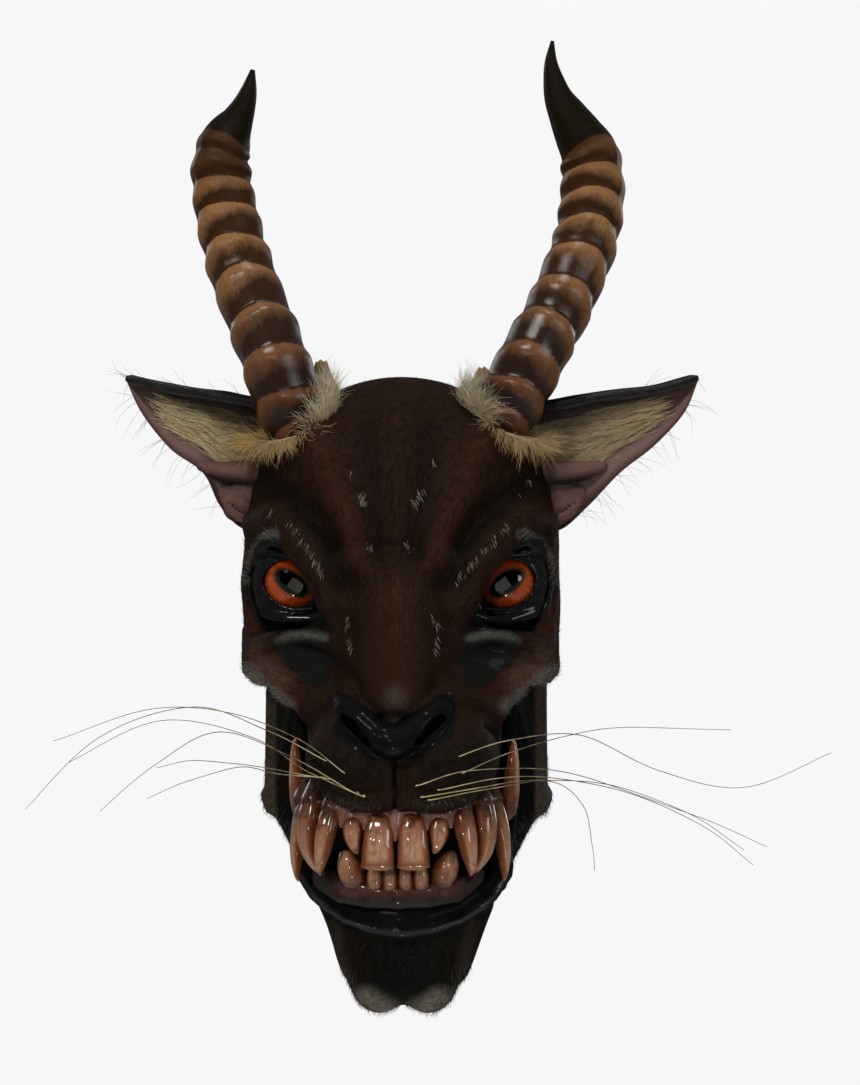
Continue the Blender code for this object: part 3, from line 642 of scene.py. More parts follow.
def iris_material():
    """Glossy orange iris: streaks run out from the pupil, and its rim and pupil are dark."""
    s = Shader("iris", Coat_Roughness=0.02, Specular_IOR_Level=0.01)
    u, v, _ = s.apart(s.attribute("iris", "Vector"))
    away = s.length(u, v)
    s.put(s.main.inputs["Coat Weight"], s.spread(v, -3.0, 1.0, 1.0, 0.02))
    pupil = s.length(s.maths("DIVIDE", u, 12.6), s.maths("DIVIDE", v, 6.9))
    turn = s.scaled(9.0, s.maths("ARCTAN2", u, v))
    ray = s.node("CombineXYZ", 0, None, X=turn, Y=s.scaled(0.12, away), Z=0.0)
    rays = s.noise(ray, 0.8, 4.0, 0.6)
    glow = s.mix(s.spread(rays, 0.35, 0.65), (0.27, 0.034, 0.006), (0.56, 0.092, 0.010))
    # Darker and redder towards the top of the iris: painted shade under the upper lid.
    glow = s.mix(s.spread(v, -3.0, 12.0, 0, 0.75), glow, (0.20, 0.016, 0.007))
    glow = s.mix(s.spread(away, 17.0, 20.0), glow, (0.03, 0.006, 0.004))
    edge = s.shifted(pupil, rays, 0.18)
    ring = s.mix(s.spread(edge, 1.06, 1.32), (0.040, 0.026, 0.012), glow)
    colour = s.mix(s.spread(edge, 0.92, 1.08), (0.0025, 0.0025, 0.0025), ring)
    return s.finish(colour, 0.12, s.bump(rays, 0.08, 0.3))


def whisker_material():
    """Bristle, pale at its root and mostly dark from a third of its length."""
    s = Shader("whisker")
    spots = s.noise(s.place_in(), 9.0, 3.0)
    root = s.mix(s.spread(spots, 0.4, 0.65), (0.55, 0.43, 0.20), (0.85, 0.74, 0.46))
    tip = s.mix(s.spread(spots, 0.4, 0.6), (0.06, 0.040, 0.022), (0.26, 0.19, 0.10))
    colour = s.mix(s.spread(s.attribute("along"), 0.18, 0.42), root, tip)
    return s.finish(colour, s.spread(spots, 0.3, 0.7, 0.28, 0.42))


def hide_material():
    """Bare tan rawhide."""
    s = Shader("hide")
    spot = s.place_in()
    grain = s.noise(spot, 1.4, 4.0, 0.6)
    tone = s.noise(spot, 11.0, 2.0)
    colour = s.mix(s.spread(tone, 0.35, 0.65), (0.34, 0.23, 0.12), (0.20, 0.12, 0.055))
    colour = s.mix(s.spread(grain, 0.5, 0.8, 0, 0.4), colour, (0.10, 0.06, 0.03))
    return s.finish(colour, 0.72, s.bump(grain, 0.5, 0.5))


def plain_material(name, colour, other, roughness, size, metallic=0.0):
    """A material for small hardware, with wear in its colour and its shine."""
    s = Shader(name, Metallic=metallic)
    wear = s.noise(s.place_in(), size, 4.0, 0.6)
    return s.finish(s.mix(s.spread(wear, 0.35, 0.7), colour, other),
                    s.spread(wear, 0.3, 0.7, roughness, roughness + 0.2), s.bump(wear, 0.25, 0.3))


# ---------------------------------------------------------------- the carved head

DOME = np.array((0, -22, -88.0))
DOME_RADII = np.array((108.0, 88, 96))
# The blocks the head is carved from, each with the x of its middle.
SKULL = (
    ("ball", 0, DOME, DOME_RADII),
    ("ball", 0, (0, -22, -150), (108, 78, 88)),
    ("chain", 0, ((84, -22, -54, 17), (90, -26, -110, 20), (90, -28, -192, 20))),
    ("ball", 4.5, (0, -78, -222), (69, 68, 60)),
)
SKULL_WALL = 9.0
EXTRA_WALL = 2.5                        # how much thicker the carving's wall is than the solid's
SOCKET = (28.5, 32.0)                   # half width and half height of the hole for an eye
SOCKET_DEPTH = 30                       # and its half depth
UPPER_ARCH = [(0, -141, -294), (30, -136, -293), (52, -120, -290), (63, -98, -288)]
LOWER_ARCH = [(0, -124, -353), (30, -118, -350), (50, -104, -344), (64, -84, -338)]


def skull_blocks(clay, grow=0.0, cut=False, blend=8.0):
    for shape, clay.middle, *facts in SKULL:
        if shape == "ball":
            clay.ball(facts[0], [r + grow for r in facts[1]], blend, cut)
        else:
            clay.chain([(*k[:3], k[3] + grow) for k in facts[0]], blend, cut)
    clay.middle = 0.0


def carve_face():
    """The skull, brows, cheekbones, nose and upper muzzle, hollowed and open behind."""
    clay = Clay((-122, -184, -302), (122, 4, 16), STEP)
    skull_blocks(clay, blend=12)
    clay.ball((0, -36, -62), (84, 58, 71), 10)
    # Forehead: a low middle ridge, a frown ridge on each side, and a valley above each brow.
    clay.chain([(0, -98, -100, 10), (0, -94, -55, 14), (0, -78, -22, 16)], 14)
    clay.chain([(21, -112, -122, 8), (33, -104, -92, 12), (47, -90, -58, 14), (62, -70, -32, 15)], 12)
    clay.chain([(36, -124, -130, 3), (51, -115, -102, 5), (72, -94, -78, 6), (94, -67, -64, 6)], 12,
               cut=True)
    # Eye sockets, sunk before the brows go over them.
    clay.ball((75, -110, -135), (31, 36, 33), 5, cut=True)
    clay.chain([(39, -108, -166, 7), (46, -112, -148, 10), (54, -109, -123, 13), (67, -99, -105, 14),
                (84, -80, -90, 14), (100, -54, -92, 11)], 7)
    clay.chain([(100, -58, -96, 8), (104, -58, -135, 8), (100, -62, -166, 9)], 7)
    # Bags under the eyes with a hollow below each, and the cheekbones.
    clay.chain([(46, -109, -176, 5), (64, -105, -171, 5.5), (86, -88, -173, 6), (101, -62, -178, 8)],
               7)
    clay.chain([(98, -46, -191, 13), (86, -70, -199, 14), (63, -97, -211, 14), (46, -113, -212, 10)],
               8)
    clay.ball((62, -76, -191), (27, 27, 22), 7)
    # Nose: bridge with a flat top and side planes.
    clay.chain([(4, -112, -122, 9), (8, -124, -148, 12), (11, -138, -190, 13), (9, -145, -212, 13)],
               7)
    clay.ball((21, -124, -126), (8, 9, 10), 6)
    clay.chain([(9, -140, -136, 2.5), (11, -128, -116, 3)], 6, cut=True)
    clay.chain([(34, -130, -160, 4), (38, -138, -190, 5)], 12, cut=True)
    clay.ball((48, -88, -192), (20, 20, 20), 8)
    clay.web((12, -128, -152), (16, -136, -196), (45, -104, -172), 8, 8)
    clay.web((12, -122, -128), (14, -128, -158), (44, -106, -150), 8, 8)
    clay.ball((31, -110, -124), (13, 11, 14), 9)
    # Muzzle: the whisker pads, which stand a little to the right, and the upper lip.
    clay.middle = MUZZLE_X
    clay.ball((29, -116, -253), (38, 44, 38), 8)
    clay.ball((0, -126, -267), (30, 30, 20), 10)
    clay.chain([(38, -134, -213, 7), (52, -120, -217, 8), (63, -100, -224, 8)], 8)
    clay.chain([(3, -150, -285.5, 4), (15, -152, -287.5, 4.5), (32, -146, -287, 4.5),
                (47, -133, -279.5, 4.5), (55, -116, -267, 4.5), (60, -98, -254, 5)], 9)
    clay.chain([(75, -82, -254, 7), (71, -98, -266, 8), (63, -116, -280, 8), (51, -134, -292, 7)],
               5, cut=True)
    clay.middle = 0.0
    clay.chain([(57, -127, -236, 3), (67, -104, -244, 5)], 8, cut=True)
    # Nose pad: a black V whose wings carry the slanted nostrils.
    clay.middle = NOSE_X
    clay.ball((0, -150, -243), (14, 20, 12), 5)
    clay.chain([(0, -160, -243, 9.5), (12, -159, -238, 10), (22, -153, -230, 11.5),
                (30, -144, -222, 11.5), (33, -136, -218, 9)], 4)
    clay.slit((33, -185, -227.5), (17, -185, -243.0), -143, 2.0)
    clay.slit((33, -185, -226.5), (25, -185, -234.0), -146, 3.0)
    clay.middle = 0.0
    clay.slit((-0.5, -185, -257), (-0.5, -185, -296), -151, 0.7, 3.0, sides=(1,))
    # Small bumps in rows on the whisker pads.
    for row in range(4):
        for spot in range(5):
            x, z = 20 + 9.0 * spot + 2 * row, -259 - 7 * row + 2.4 * spot
            depth = -116 - 44 * math.sqrt(max(0.05, 1 - ((x - 29) / 40) ** 2
                                              - ((z + 253) / 38) ** 2))
            clay.ball((x, depth + 0.8, z), (2.2, 2.2, 2.2), 3)
    # Hollow it, open it behind and below, and cut room for the jaw and the eyes.
    skull_blocks(clay, -SKULL_WALL - EXTRA_WALL, cut=True, blend=4)
    clay.box((-200, 0, -330), (200, 60, 60))
    clay.box((JAW_X - 110, -84, -340), (JAW_X + 110, 30, -206))
    clay.box((JAW_X - 98.7, -52, -222), (JAW_X + 98.7, 30, -172))
    for side in SIDES:
        cut_socket(clay, side)
    # The outer walls beside the eyes, and the bolts' holes with room for their heads.
    clay.chain([(104.5, -46, -98, 4.5), (105, -46, -134, 4.5), (105, -46, -166, 4.5),
                (107.5, -47, -178, 4), (107.5, -46, -196, 4)], 3)
    clay.chain([(106.5, -53, -168, 5), (106.5, -54, -188, 5)], 3)
    clay.chain([(84, *HINGE, 3.5), (130, *HINGE, 3.5)], 0.5, cut=True)
    clay.chain([(114.5, *HINGE, 8.5), (130, *HINGE, 8.5)], 0.5, cut=True)
    clay.middle = TEETH_X
    clay.chain([(*p, 9.3) for p in smooth_path(UPPER_ARCH, 9)], 1, cut=True)
    return clay.surface()


def cut_socket(clay, side):
    """Cuts the hole for an eye."""
    middle = EYE * (side, 1, 1)
    reach = np.array((SOCKET[0], SOCKET_DEPTH, SOCKET[1]))

    def distance(x, y, z):
        flat = np.sqrt(((x - middle[0]) / SOCKET[0]) ** 2 + ((z - middle[2]) / SOCKET[1]) ** 2)
        return np.maximum((flat - 1) * SOCKET[0], np.abs(y - middle[1]) - SOCKET_DEPTH)

    clay.press(distance, middle - reach, middle + reach, 2.0, True)


def paint_face(points, normals):
    """Air-brushed browns: reddish ridges, dark valleys, black nose and sockets, grey edges."""
    p = folded(points)
    x, y, z = p.T
    paint = np.tile((0.0215, 0.0100, 0.0062), (len(p), 1))
    red = (0.046, 0.0155, 0.0085)
    dark = (0.0068, 0.0052, 0.0036)
    gray = (0.125, 0.110, 0.092)
    paint = brush(paint, p, (
        (red, 0.55, [(26, -118), (36, -90), (50, -55), (60, -30)], 18),
        (red, 0.75, [(0, -140), (0, -215)], 18),
        (red, 0.6, [(92, -190), (72, -214)], 16),
        (red, 0.6, [(104, -120), (106, -170)], 9),
        (dark, 0.65, [(12, -112), (18, -70), (22, -30)], 17),
        (dark, 0.85, [(36, -130), (52, -100), (74, -76), (98, -60)], 17),
        (dark, 0.4, [(32, -150), (35, -190), (42, -215)], 11),
        ((0.095, 0.056, 0.037), 0.8, [(100, -186), (84, -202)], 17),
        ((0.013, 0.0098, 0.0070), 0.95, [(26, -256), (56, -256)], 38),
        ((0.022, 0.017, 0.013), 0.7, [(16, -284), (34, -285), (55, -276)], 8),
    ))
    socket = ease(1.22, 0.98, np.sqrt(((x - 75) / 31) ** 2 + ((z + 135) / 34) ** 2))
    socket *= ease(-106, -94, y) * ease(30, 40, x) * ease(-44, -54, y)
    # This stroke blackens the crease under the lower lid at its inner end: painted shade.
    socket = np.maximum(socket, near(p, [(52, -160), (47, -168)], 5) * 0.9)
    paint = layer(paint, BLACK, socket)
    rim = near(p, [(86, -101), (96, -105), (103, -116), (105, -134)], 6.5)
    paint = layer(paint, gray, 0.8 * rim * (1 - socket) * ease(-44, -60, y))
    pouch = np.maximum(near(p, [(80, -177), (50, -178)], 9), near(p, [(72, -187), (50, -188)], 11))
    pouch = np.maximum(pouch, near(p, [(62, -197), (53, -199)], 10))
    paint = layer(paint, (0.0090, 0.0088, 0.0080), ease(0.1, 0.4, pouch) * ease(-164, -168, z))
    # A grey line along the ridge of each bag under the eye: painted highlight.
    bag_highlight = near(p, [(84, -175), (76, -171), (60, -169.5), (50, -172)], 5.0)
    paint = layer(paint, (0.13, 0.135, 0.125), 0.5 * bag_highlight * ease(-179, -172, z))
    paint = brush(paint, p, [((0.19, 0.155, 0.125), 0.75, [(106, -196), (92, -208), (76, -219)], 9)])
    out = folded(points, NOSE_X)[:, 0]
    pad = ease(18.5, 15.5, np.abs(z + 247.0 - 0.62 * out)) * ease(43.5, 40.5, out)
    pad *= ease(-207, -211, z) * ease(-120, -130, y) * ease(-257.5, -255, z)
    paint = layer(paint, BLACK, pad)
    tip = near(p, [(0, -227), (0, -212)], 13) * (1 - pad)
    paint = layer(paint, (0.09, 0.070, 0.056), 0.7 * tip)
    cleft = near(points, [(-0.5, -257), (-0.5, -290)], 2.6)
    paint = layer(paint, BLACK, 0.9 * cleft * (y < -120))
    inside = wall_side(points, normals)
    paint = layer(paint, BARE_WOOD, inside)
    gloss = np.maximum(0.30 * pad + 0.5 * near(p, [(0, -250), (0, -254)], 9) * pad, 0.35 * socket)
    gloss = np.maximum(gloss, 0.22 * ease(0.1, 0.4, pouch))
    gloss = np.where(inside > 0.5, 0.0, gloss)
    return paint, gloss


def wall_side(points, normals):
    """1 on the bare wood inside the hollow and on the back rim."""
    balls = [(np.array(facts[0]) + (middle, 0, 0), np.array(facts[1]) - SKULL_WALL)
             for shape, middle, *facts in SKULL if shape == "ball"]
    facing = (normals * unit(np.array((0, -30, -130.0)) - points)).sum(1)
    hollow = inside_balls(points, balls) & (facing > 0.1)
    return np.where(hollow | (points[:, 1] > -0.8), 1.0, 0.0)


# ---------------------------------------------------------------- the jaw

PLATE_X = 93.7                          # the middle of a side plate's thickness
LIP_EDGE = [(72, -337), (63, -351), (53, -360), (40, -367.5), (21, -373.5), (0, -376)]
MOUTH_FLOOR = ((0, -62, -372), (41, 50, 40))
THROAT = ((0, -36, -322), (72, 62, 42))


def carve_jaw():
    """The chin, the lower lip and the side plates that run up to the hinge."""
    clay = Clay((-104, -150, -438), (112, -8, -176), STEP, JAW_X)
    clay.ball((0, -86, -378), (50, 48, 44), 7)
    clay.ball((0, -92, -394), (44, 41, 33), 7)
    clay.ball((17, -98, -407), (21.0, 30, 25.5), 4)
    # A side plate: its rim, then three webs that fill it.
    back_top, front_top, notch, front_low, back_low = [
        (PLATE_X, y, z) for y, z in ((-25, -182), (-37, -182), (-50, -222), (-56, -290), (-30, -292))]
    half = 4.3
    clay.chain([(*back_top, half), (*front_top, half), (*notch, half), (*front_low, 5), (*back_low, 5),
                (*back_top, half)], 2)
    clay.web(back_top, front_low, back_low, half, 2)
    clay.web(back_top, front_top, front_low, half, 2)
    clay.web(front_top, notch, front_low, half, 2)
    # The cheek web that closes the corner of the mouth.
    clay.web((PLATE_X, -50, -210.5), (PLATE_X, -54, -292), (73, -78, -211), 4, 3)
    clay.web((PLATE_X, -54, -292), (73, -78, -211), (70, -81, -305), 4, 3)
    clay.chain([(PLATE_X, -50, -210.5, 4.2), (73, -78, -211, 4), (70, -81, -305, 5)], 3)
    clay.chain([(64, -86, -342, 8), (66, -87, -322, 8.3), (70, -89, -304, 7.5), (72, -89, -296, 6.5)],
               4)
    # The body of the jaw from its corner to the chin, with a rolled lip.
    clay.web((89, -34, -290), (89, -54, -288), (36, -70, -388), 5, 4)
    clay.web((89, -54, -288), (67, -84, -305), (41, -94, -384), 5, 4)
    clay.web((89, -54, -288), (41, -94, -384), (35, -70, -388), 5, 4)
    clay.web((67, -84, -305), (62, -98, -336), (41, -94, -384), 5, 4)
    clay.chain([(95, -42, -284, 7.5), (76, -52, -303, 8), (61, -66, -328, 8), (46, -76, -362, 8)], 6)
    clay.chain([(49, -88, -352, 8), (41, -90, -378, 8), (32, -92, -402, 8)], 6)
    clay.chain([(53, -86, -358, 8), (45, -89, -380, 8), (36, -92, -402, 8)], 6, sides=(1,))
    clay.chain([(67, -82, -300, 6), (61, -85, -318, 7), (48, -90, -332, 8), (30, -96, -346, 8)], 4)
    clay.chain([(60, -94, -340, 9), (46, -104, -352, 10), (30, -111, -360, 10), (14, -118, -364, 10),
                (0, -120, -366, 10)], 5)
    clay.chain([(60, -98, -350, 6), (48, -106, -357, 6), (32, -115, -362, 7), (14, -121, -366, 7),
                (0, -123, -367, 7)], 4)
    clay.chain([(71, -94, -337, 4.0), (63, -103, -351, 3), (53, -112, -360, 2.5),
                (40, -121, -367.5, 2.3), (21, -129, -373.5, 2.3), (0, -132, -376, 2.3)], 1.5)
    clay.ball((67, -92, -330), (9, 9, 9), 5)
    clay.chain([(58, -114, -364, 4), (44, -124, -375, 4), (24, -132, -382, 4), (0, -136, -385, 4)],
               6, cut=True)
    clay.chain([(0, -150, -392, 5), (0, -142, -420, 3)], 8, cut=True)
    clay.chain([(30, -140, -384, 7), (14, -146, -388, 6)], 14, cut=True)
    # The hollow behind the lip and the throat.
    clay.ball(*MOUTH_FLOOR, 3, cut=True)
    clay.ball(*THROAT, 3, cut=True)
    clay.box((JAW_X - 34, -44, -424), (JAW_X + 34, 0, -350), 8)
    clay.middle = LOWER_TEETH_X
    clay.chain([(p[0], p[1], p[2] + 5, 8.2) for p in smooth_path(LOWER_ARCH, 9)], 1, cut=True)
    clay.middle = 0
    clay.chain([(78, *HINGE, 3.1), (125, *HINGE, 3.1)], 0.5, cut=True)
    return clay.surface()


def paint_jaw(points, normals):
    """Near-black brown, with a wet black lip, greyer plates and a pale-haired chin."""
    p = folded(points, JAW_X)
    x, y, z = p.T
    paint = np.tile((0.0085, 0.0068, 0.0050), (len(p), 1))
    plate = ease(84, 90, x) * ease(-330, -300, z)
    paint = layer(paint, (0.050, 0.038, 0.028), 0.8 * plate)
    paint = brush(paint, p, [((0.075, 0.062, 0.046), 0.5, [(95, -272), (88, -300)], 14)])
    web = ease(92.5, 89, x) * ease(-316, -300, z) * ease(0.1, 0.35, -normals[:, 1])
    edge_x, edge_z = np.array(LIP_EDGE[::-1]).T
    lip = ease(-12, -9, (z - np.interp(x, edge_x, edge_z)) - 10)
    lip *= ease(-84, -90, y) * ease(76, 70, x) * ease(-300, -306, z)
    rim = near(p, LIP_EDGE, 3)
    inner = np.clip(np.maximum(web, lip), 0, 1)
    paint = layer(paint, (0.0026, 0.0028, 0.0026), inner)
    paint = brush(paint, p, [((0.0050, 0.0048, 0.0040), 0.85, [(0, -385), (0, -402)], 40)])
    # The grey along the lip's crest is a painted highlight.
    paint = layer(paint, (0.030, 0.034, 0.034), 0.8 * rim * ease(-88, -96, y))
    paint = brush(paint, p, (((0.24, 0.22, 0.175), 0.85, [(12, -430), (26, -422)], 14),
                             ((0.045, 0.036, 0.027), 0.5, [(48, -370), (42, -400)], 8)))
    balls = [(centre, np.array(radii) + 1.5) for centre, radii in (MOUTH_FLOOR, THROAT)]
    balls.append(((0, -22, -387), (35, 24, 38.5)))
    back = np.where(inside_balls(p, balls) & (z < -296) & (y > -112), 1.0, 0.0)
    paint = layer(paint, (0.26, 0.165, 0.09), back)
    gloss = np.clip(np.maximum(0.14 * inner, rim * ease(-90, -100, y)), 0, 1)
    return paint, np.where(back > 0.5, 0, gloss)


# ---------------------------------------------------------------- hair

def strands(name, roots, ways, lengths, radius, roots_paint, tips_paint, material, bends=4,
            droop=(0, 0, -0.3), curl=0.25):
    """Tapered closed hairs. ways are their first directions, droop is what bends them."""
    count = len(roots)
    lengths = np.broadcast_to(np.asarray(lengths, float), (count,))
    radius = np.broadcast_to(np.asarray(radius, float), (count,))
    pull = np.broadcast_to(np.asarray(droop, float), (count, 3)) + rng.normal(0, curl, (count, 3))
    line = [np.asarray(roots, float)]
    way = unit(ways)
    for _ in range(bends):
        line.append(line[-1] + way * (lengths / bends)[:, None])
        way = unit(way + pull / bends)
    line = np.stack(line, 1)
    ahead = unit(np.gradient(line, axis=1))
    hint = np.where(np.abs(ahead[..., 2:3]) > 0.8, (1.0, 0, 0), (0, 0, 1.0))
    first = unit(np.cross(ahead, hint))
    second = np.cross(ahead, first)
    taper = np.linspace(1, 0.12, bends + 1) ** 0.8
    points = np.empty((count, bends + 1, 3, 3))
    for k in range(3):
        turn = math.tau * k / 3
        points[:, :, k] = line + (first * math.cos(turn) + second * math.sin(turn)) * (
            radius[:, None, None] * taper[None, :, None])
    base = (np.arange(count) * (bends + 1) * 3)[:, None]
    faces = []
    for i in range(bends):
        for k in range(3):
            n = (k + 1) % 3
            faces.append(np.hstack([base + i * 3 + k, base + i * 3 + n,
                                    base + (i + 1) * 3 + n, base + (i + 1) * 3 + k]))
    quads = np.vstack(faces)
    caps = np.vstack([np.hstack([base + 2, base + 1, base]),
                      np.hstack([base + bends * 3 + k for k in range(3)])])
    mix = np.linspace(0, 1, bends + 1)[None, :, None, None] ** 0.8
    a = np.asarray(roots_paint)[:, None, None, :]
    b = np.asarray(tips_paint)[:, None, None, :]
    paint = np.broadcast_to(a + (b - a) * mix, points.shape).reshape(-1, 3)
    return mesh_object(name, points.reshape(-1, 3), [*quads.tolist(), *caps.tolist()], material,
                       {"paint": paint})


def tints(count, low, high, spread=0.25):
    """Random colours between two, each a little lighter or darker."""
    t = rng.random((count, 1))
    colour = np.asarray(low) + (np.asarray(high) - np.asarray(low)) * t
    return np.clip(colour * np.exp(rng.normal(0, spread, (count, 1))), 0, 0.95)


def scatter(points, normals, weight, count):
    """Random places on a carving, likelier where weight is high."""
    chance = weight / weight.sum()
    pick = rng.choice(len(points), count, p=chance)
    jitter = rng.normal(0, 0.6, (count, 3))
    jitter -= normals[pick] * (jitter * normals[pick]).sum(1)[:, None]
    return points[pick] + jitter, normals[pick]


def lying(points, normals, lift=0.35):
    """Directions along the surface, away from the flow's centre, lifted a little."""
    way = np.zeros_like(points)
    way[:, 0] = points[:, 0] - FLOW_CENTRE[0]
    way[:, 2] = points[:, 2] - FLOW_CENTRE[1]
    way = unit(way)
    way -= normals * (way * normals).sum(1)[:, None]
    return unit(unit(way) + normals * lift + rng.normal(0, 0.16, way.shape))


def short_hairs(name, body, slot, cover, lift, lean, lengths, radius, shades, hair, **bend):
    """Hairs lying on a carving. cover is (points, normals, weight, count), lean is added to
    their directions, and shades are the dark and pale colours of roots and of tips."""
    roots, normals = scatter(*cover)
    ways = lying(roots, normals, lift)
    if lean is not None:
        ways = unit(ways + np.array(lean))
    count = len(roots)
    obj = strands(name, roots, ways, rng.uniform(*lengths, count), radius,
                  tints(count, *shades[:2]), tints(count, *shades[2:]), hair, **bend)
    place(obj, body, slot)


def dress_face(points, normals, hair):
    """Grey hairs on the edges, a thin dark coat, and white flecks on the brow and nose."""
    p = folded(points)
    front = ease(0.0, 0.3, -normals[:, 1] + 0.6 * np.abs(normals[:, 0]))
    front *= 1 - wall_side(points, normals)
    edge = near(p, [(86, -101), (96, -106), (103, -116), (106, -134)], 6)
    edge *= ease(-44, -60, p[:, 1])
    edge = np.maximum(edge, near(p, [(106, -196), (92, -208), (78, -220)], 8))
    edge = np.maximum(edge, 0.35 * near(p, [(14, -288), (50, -280)], 5))
    middling = (0.16, 0.15, 0.13)
    short_hairs("fringe", "mask", "fur", (points, normals, edge * front, 2400), 0.4, None,
                (2.5, 5.5), 0.11, ((0.05, 0.045, 0.04), middling, middling, (0.40, 0.38, 0.34)),
                hair, bends=2, droop=(0, 0.4, -0.1))
    coat = front * (0.25 + 0.75 * (1 - near(p, [(0, -240)], 34)))
    coat *= 1 - near(p, [(75, -135)], 36)
    coat *= 1 - ease(0, 0.5, near(p, [(76, -182), (54, -184), (58, -198)], 15))
    short_hairs("coat", "mask", "fur", (points, normals, coat, 5200), 0.3, None, (2.5, 4.5), 0.10,
                ((0.010, 0.006, 0.004), (0.03, 0.013, 0.008),
                 (0.02, 0.012, 0.008), (0.055, 0.034, 0.022)),
                hair, bends=2, droop=(0, 0.45, -0.1))
    build_flecks(points, normals, hair)


def build_flecks(points, normals, hair):
    """The white flecks: tufts of hair that fall down and a little outwards."""
    flecks = []
    for path, width, amount in FLECKS:
        weight = near(points, path, width) * ease(0.2, 0.5, -normals[:, 1])
        flecks.append(scatter(points, normals, weight + 1e-12, amount))
    roots, lean = [np.vstack(rows) for rows in zip(*flecks)]
    count = len(roots)
    outwards = np.zeros((count, 3))
    outwards[:, 0] = 0.35 * np.sign(roots[:, 0])
    ways = unit(np.array((0, -0.25, -1.0)) + 0.25 * lean + rng.normal(0, 0.15, roots.shape)
                + outwards)
    obj = strands("white_flecks", roots, ways, rng.uniform(3, 6.5, count), 0.15,
                  tints(count, (0.24, 0.20, 0.16), (0.42, 0.38, 0.31)),
                  tints(count, (0.45, 0.41, 0.34), (0.72, 0.68, 0.60)), hair, bends=2,
                  droop=(0, 0.5, -0.1))
    place(obj, "mask", "fur")


# Where the white flecks are: a path of (x, z), its width, and how many hairs.
FLECKS = (
    ([(-25, -72), (-23, -78)], 3.5, 26), ([(15, -70), (12, -78)], 3.5, 26),
    ([(-19, -108), (-21, -112)], 3.0, 16), ([(5, -106), (9, -112)], 3.0, 16),
    ([(-33, -56)], 1.5, 5), ([(24, -50)], 2.0, 6),
    ([(-74, -92), (-66, -105)], 2.2, 16), ([(-62, -106), (-52, -126)], 3.0, 34),
    ([(76, -92), (66, -106)], 2.2, 16), ([(60, -110), (40, -132)], 3.0, 36),
    ([(-35, -156), (-33, -164)], 2.5, 16), ([(-32, -172), (-31, -180)], 2.2, 12),
    ([(24, -155), (28, -163)], 2.5, 16), ([(27, -172), (27, -180)], 2.2, 12),
    ([(90, -62)], 2.0, 6), ([(84, -74)], 2.0, 6), ([(-88, -84)], 2.0, 6),
)


def dress_jaw(points, normals, hair):
    """Short hairs at the jaw's corners and on its chin."""
    p = folded(points, JAW_X)
    out = ease(-0.3, 0.3, -normals[:, 1] + np.abs(normals[:, 0]))
    weight = near(p, [(96, -262), (99, -284), (90, -300), (76, -322)], 13)
    chin = near(p, [(40, -404), (30, -422), (12, -430), (0, -428)], 10)
    weight = np.maximum(weight, 1.3 * chin) * out
    short_hairs("jaw_hair", "jaw", "jaw", (points, normals, weight, 2600), 0.45, (0, 0, -0.5),
                (2, 5.5), 0.10, ((0.05, 0.04, 0.03), (0.10, 0.08, 0.06),
                                 (0.09, 0.080, 0.062), (0.30, 0.27, 0.21)),
                hair, bends=3, droop=(0, 0.1, -0.3))


# ---------------------------------------------------------------- horns

# Each horn's spine from its foot to its tip: (x, y, z, radius).
HORNS = {
    -1: [(-46, -30, -68, 15), (-61, -48, -42, 22), (-76, -52, -12, 24.6), (-89.5, -54, 26, 24.4),
         (-99, -48, 50, 23.8), (-108.5, -41, 74, 23.4), (-116.5, -34, 98, 22.8),
         (-123, -29, 124, 21.8), (-127, -27, 148, 21.0), (-127, -28, 166, 19.8),
         (-122.5, -31, 180, 17.0), (-115.5, -36, 192, 11.6), (-110.5, -40, 202, 8.4),
         (-107, -43, 212, 5.8), (-104, -47, 226, 1.7)],
    1: [(40, -30, -66, 15), (56, -48, -40, 22), (76, -52, -8, 24.0), (95, -54, 28, 23.6),
        (109, -48, 54, 22.8), (120, -41, 79, 22.6), (128.5, -34, 102, 22.4),
        (133.5, -29, 127, 22.4), (134.5, -27, 150, 22.0), (132, -28, 168, 20.0),
        (125, -32, 181, 17.2), (117.5, -36, 194, 13.8), (111, -39, 206, 10.4),
        (107.5, -42, 218, 7.6), (105.5, -45, 231, 4.6), (106.5, -47, 246, 1.2)],
}
# Heights of the grooves between rings, down the front of each horn.
GROOVES = {-1: [185.5, 173, 153, 132, 107.5, 83, 55, 30, 3, -20, -44, -68],
           1: [180.5, 163, 143, 122, 99, 75.5, 51, 31, 10, -9, -30, -52]}
RING_LEAN = {-1: 8.5, 1: 11.5}      # how much higher a ring is in front than at its sides
RING_HEIGHT = 2.7
FOOT_DEPTH = 6                      # how deep a horn's foot goes into the skull's wall


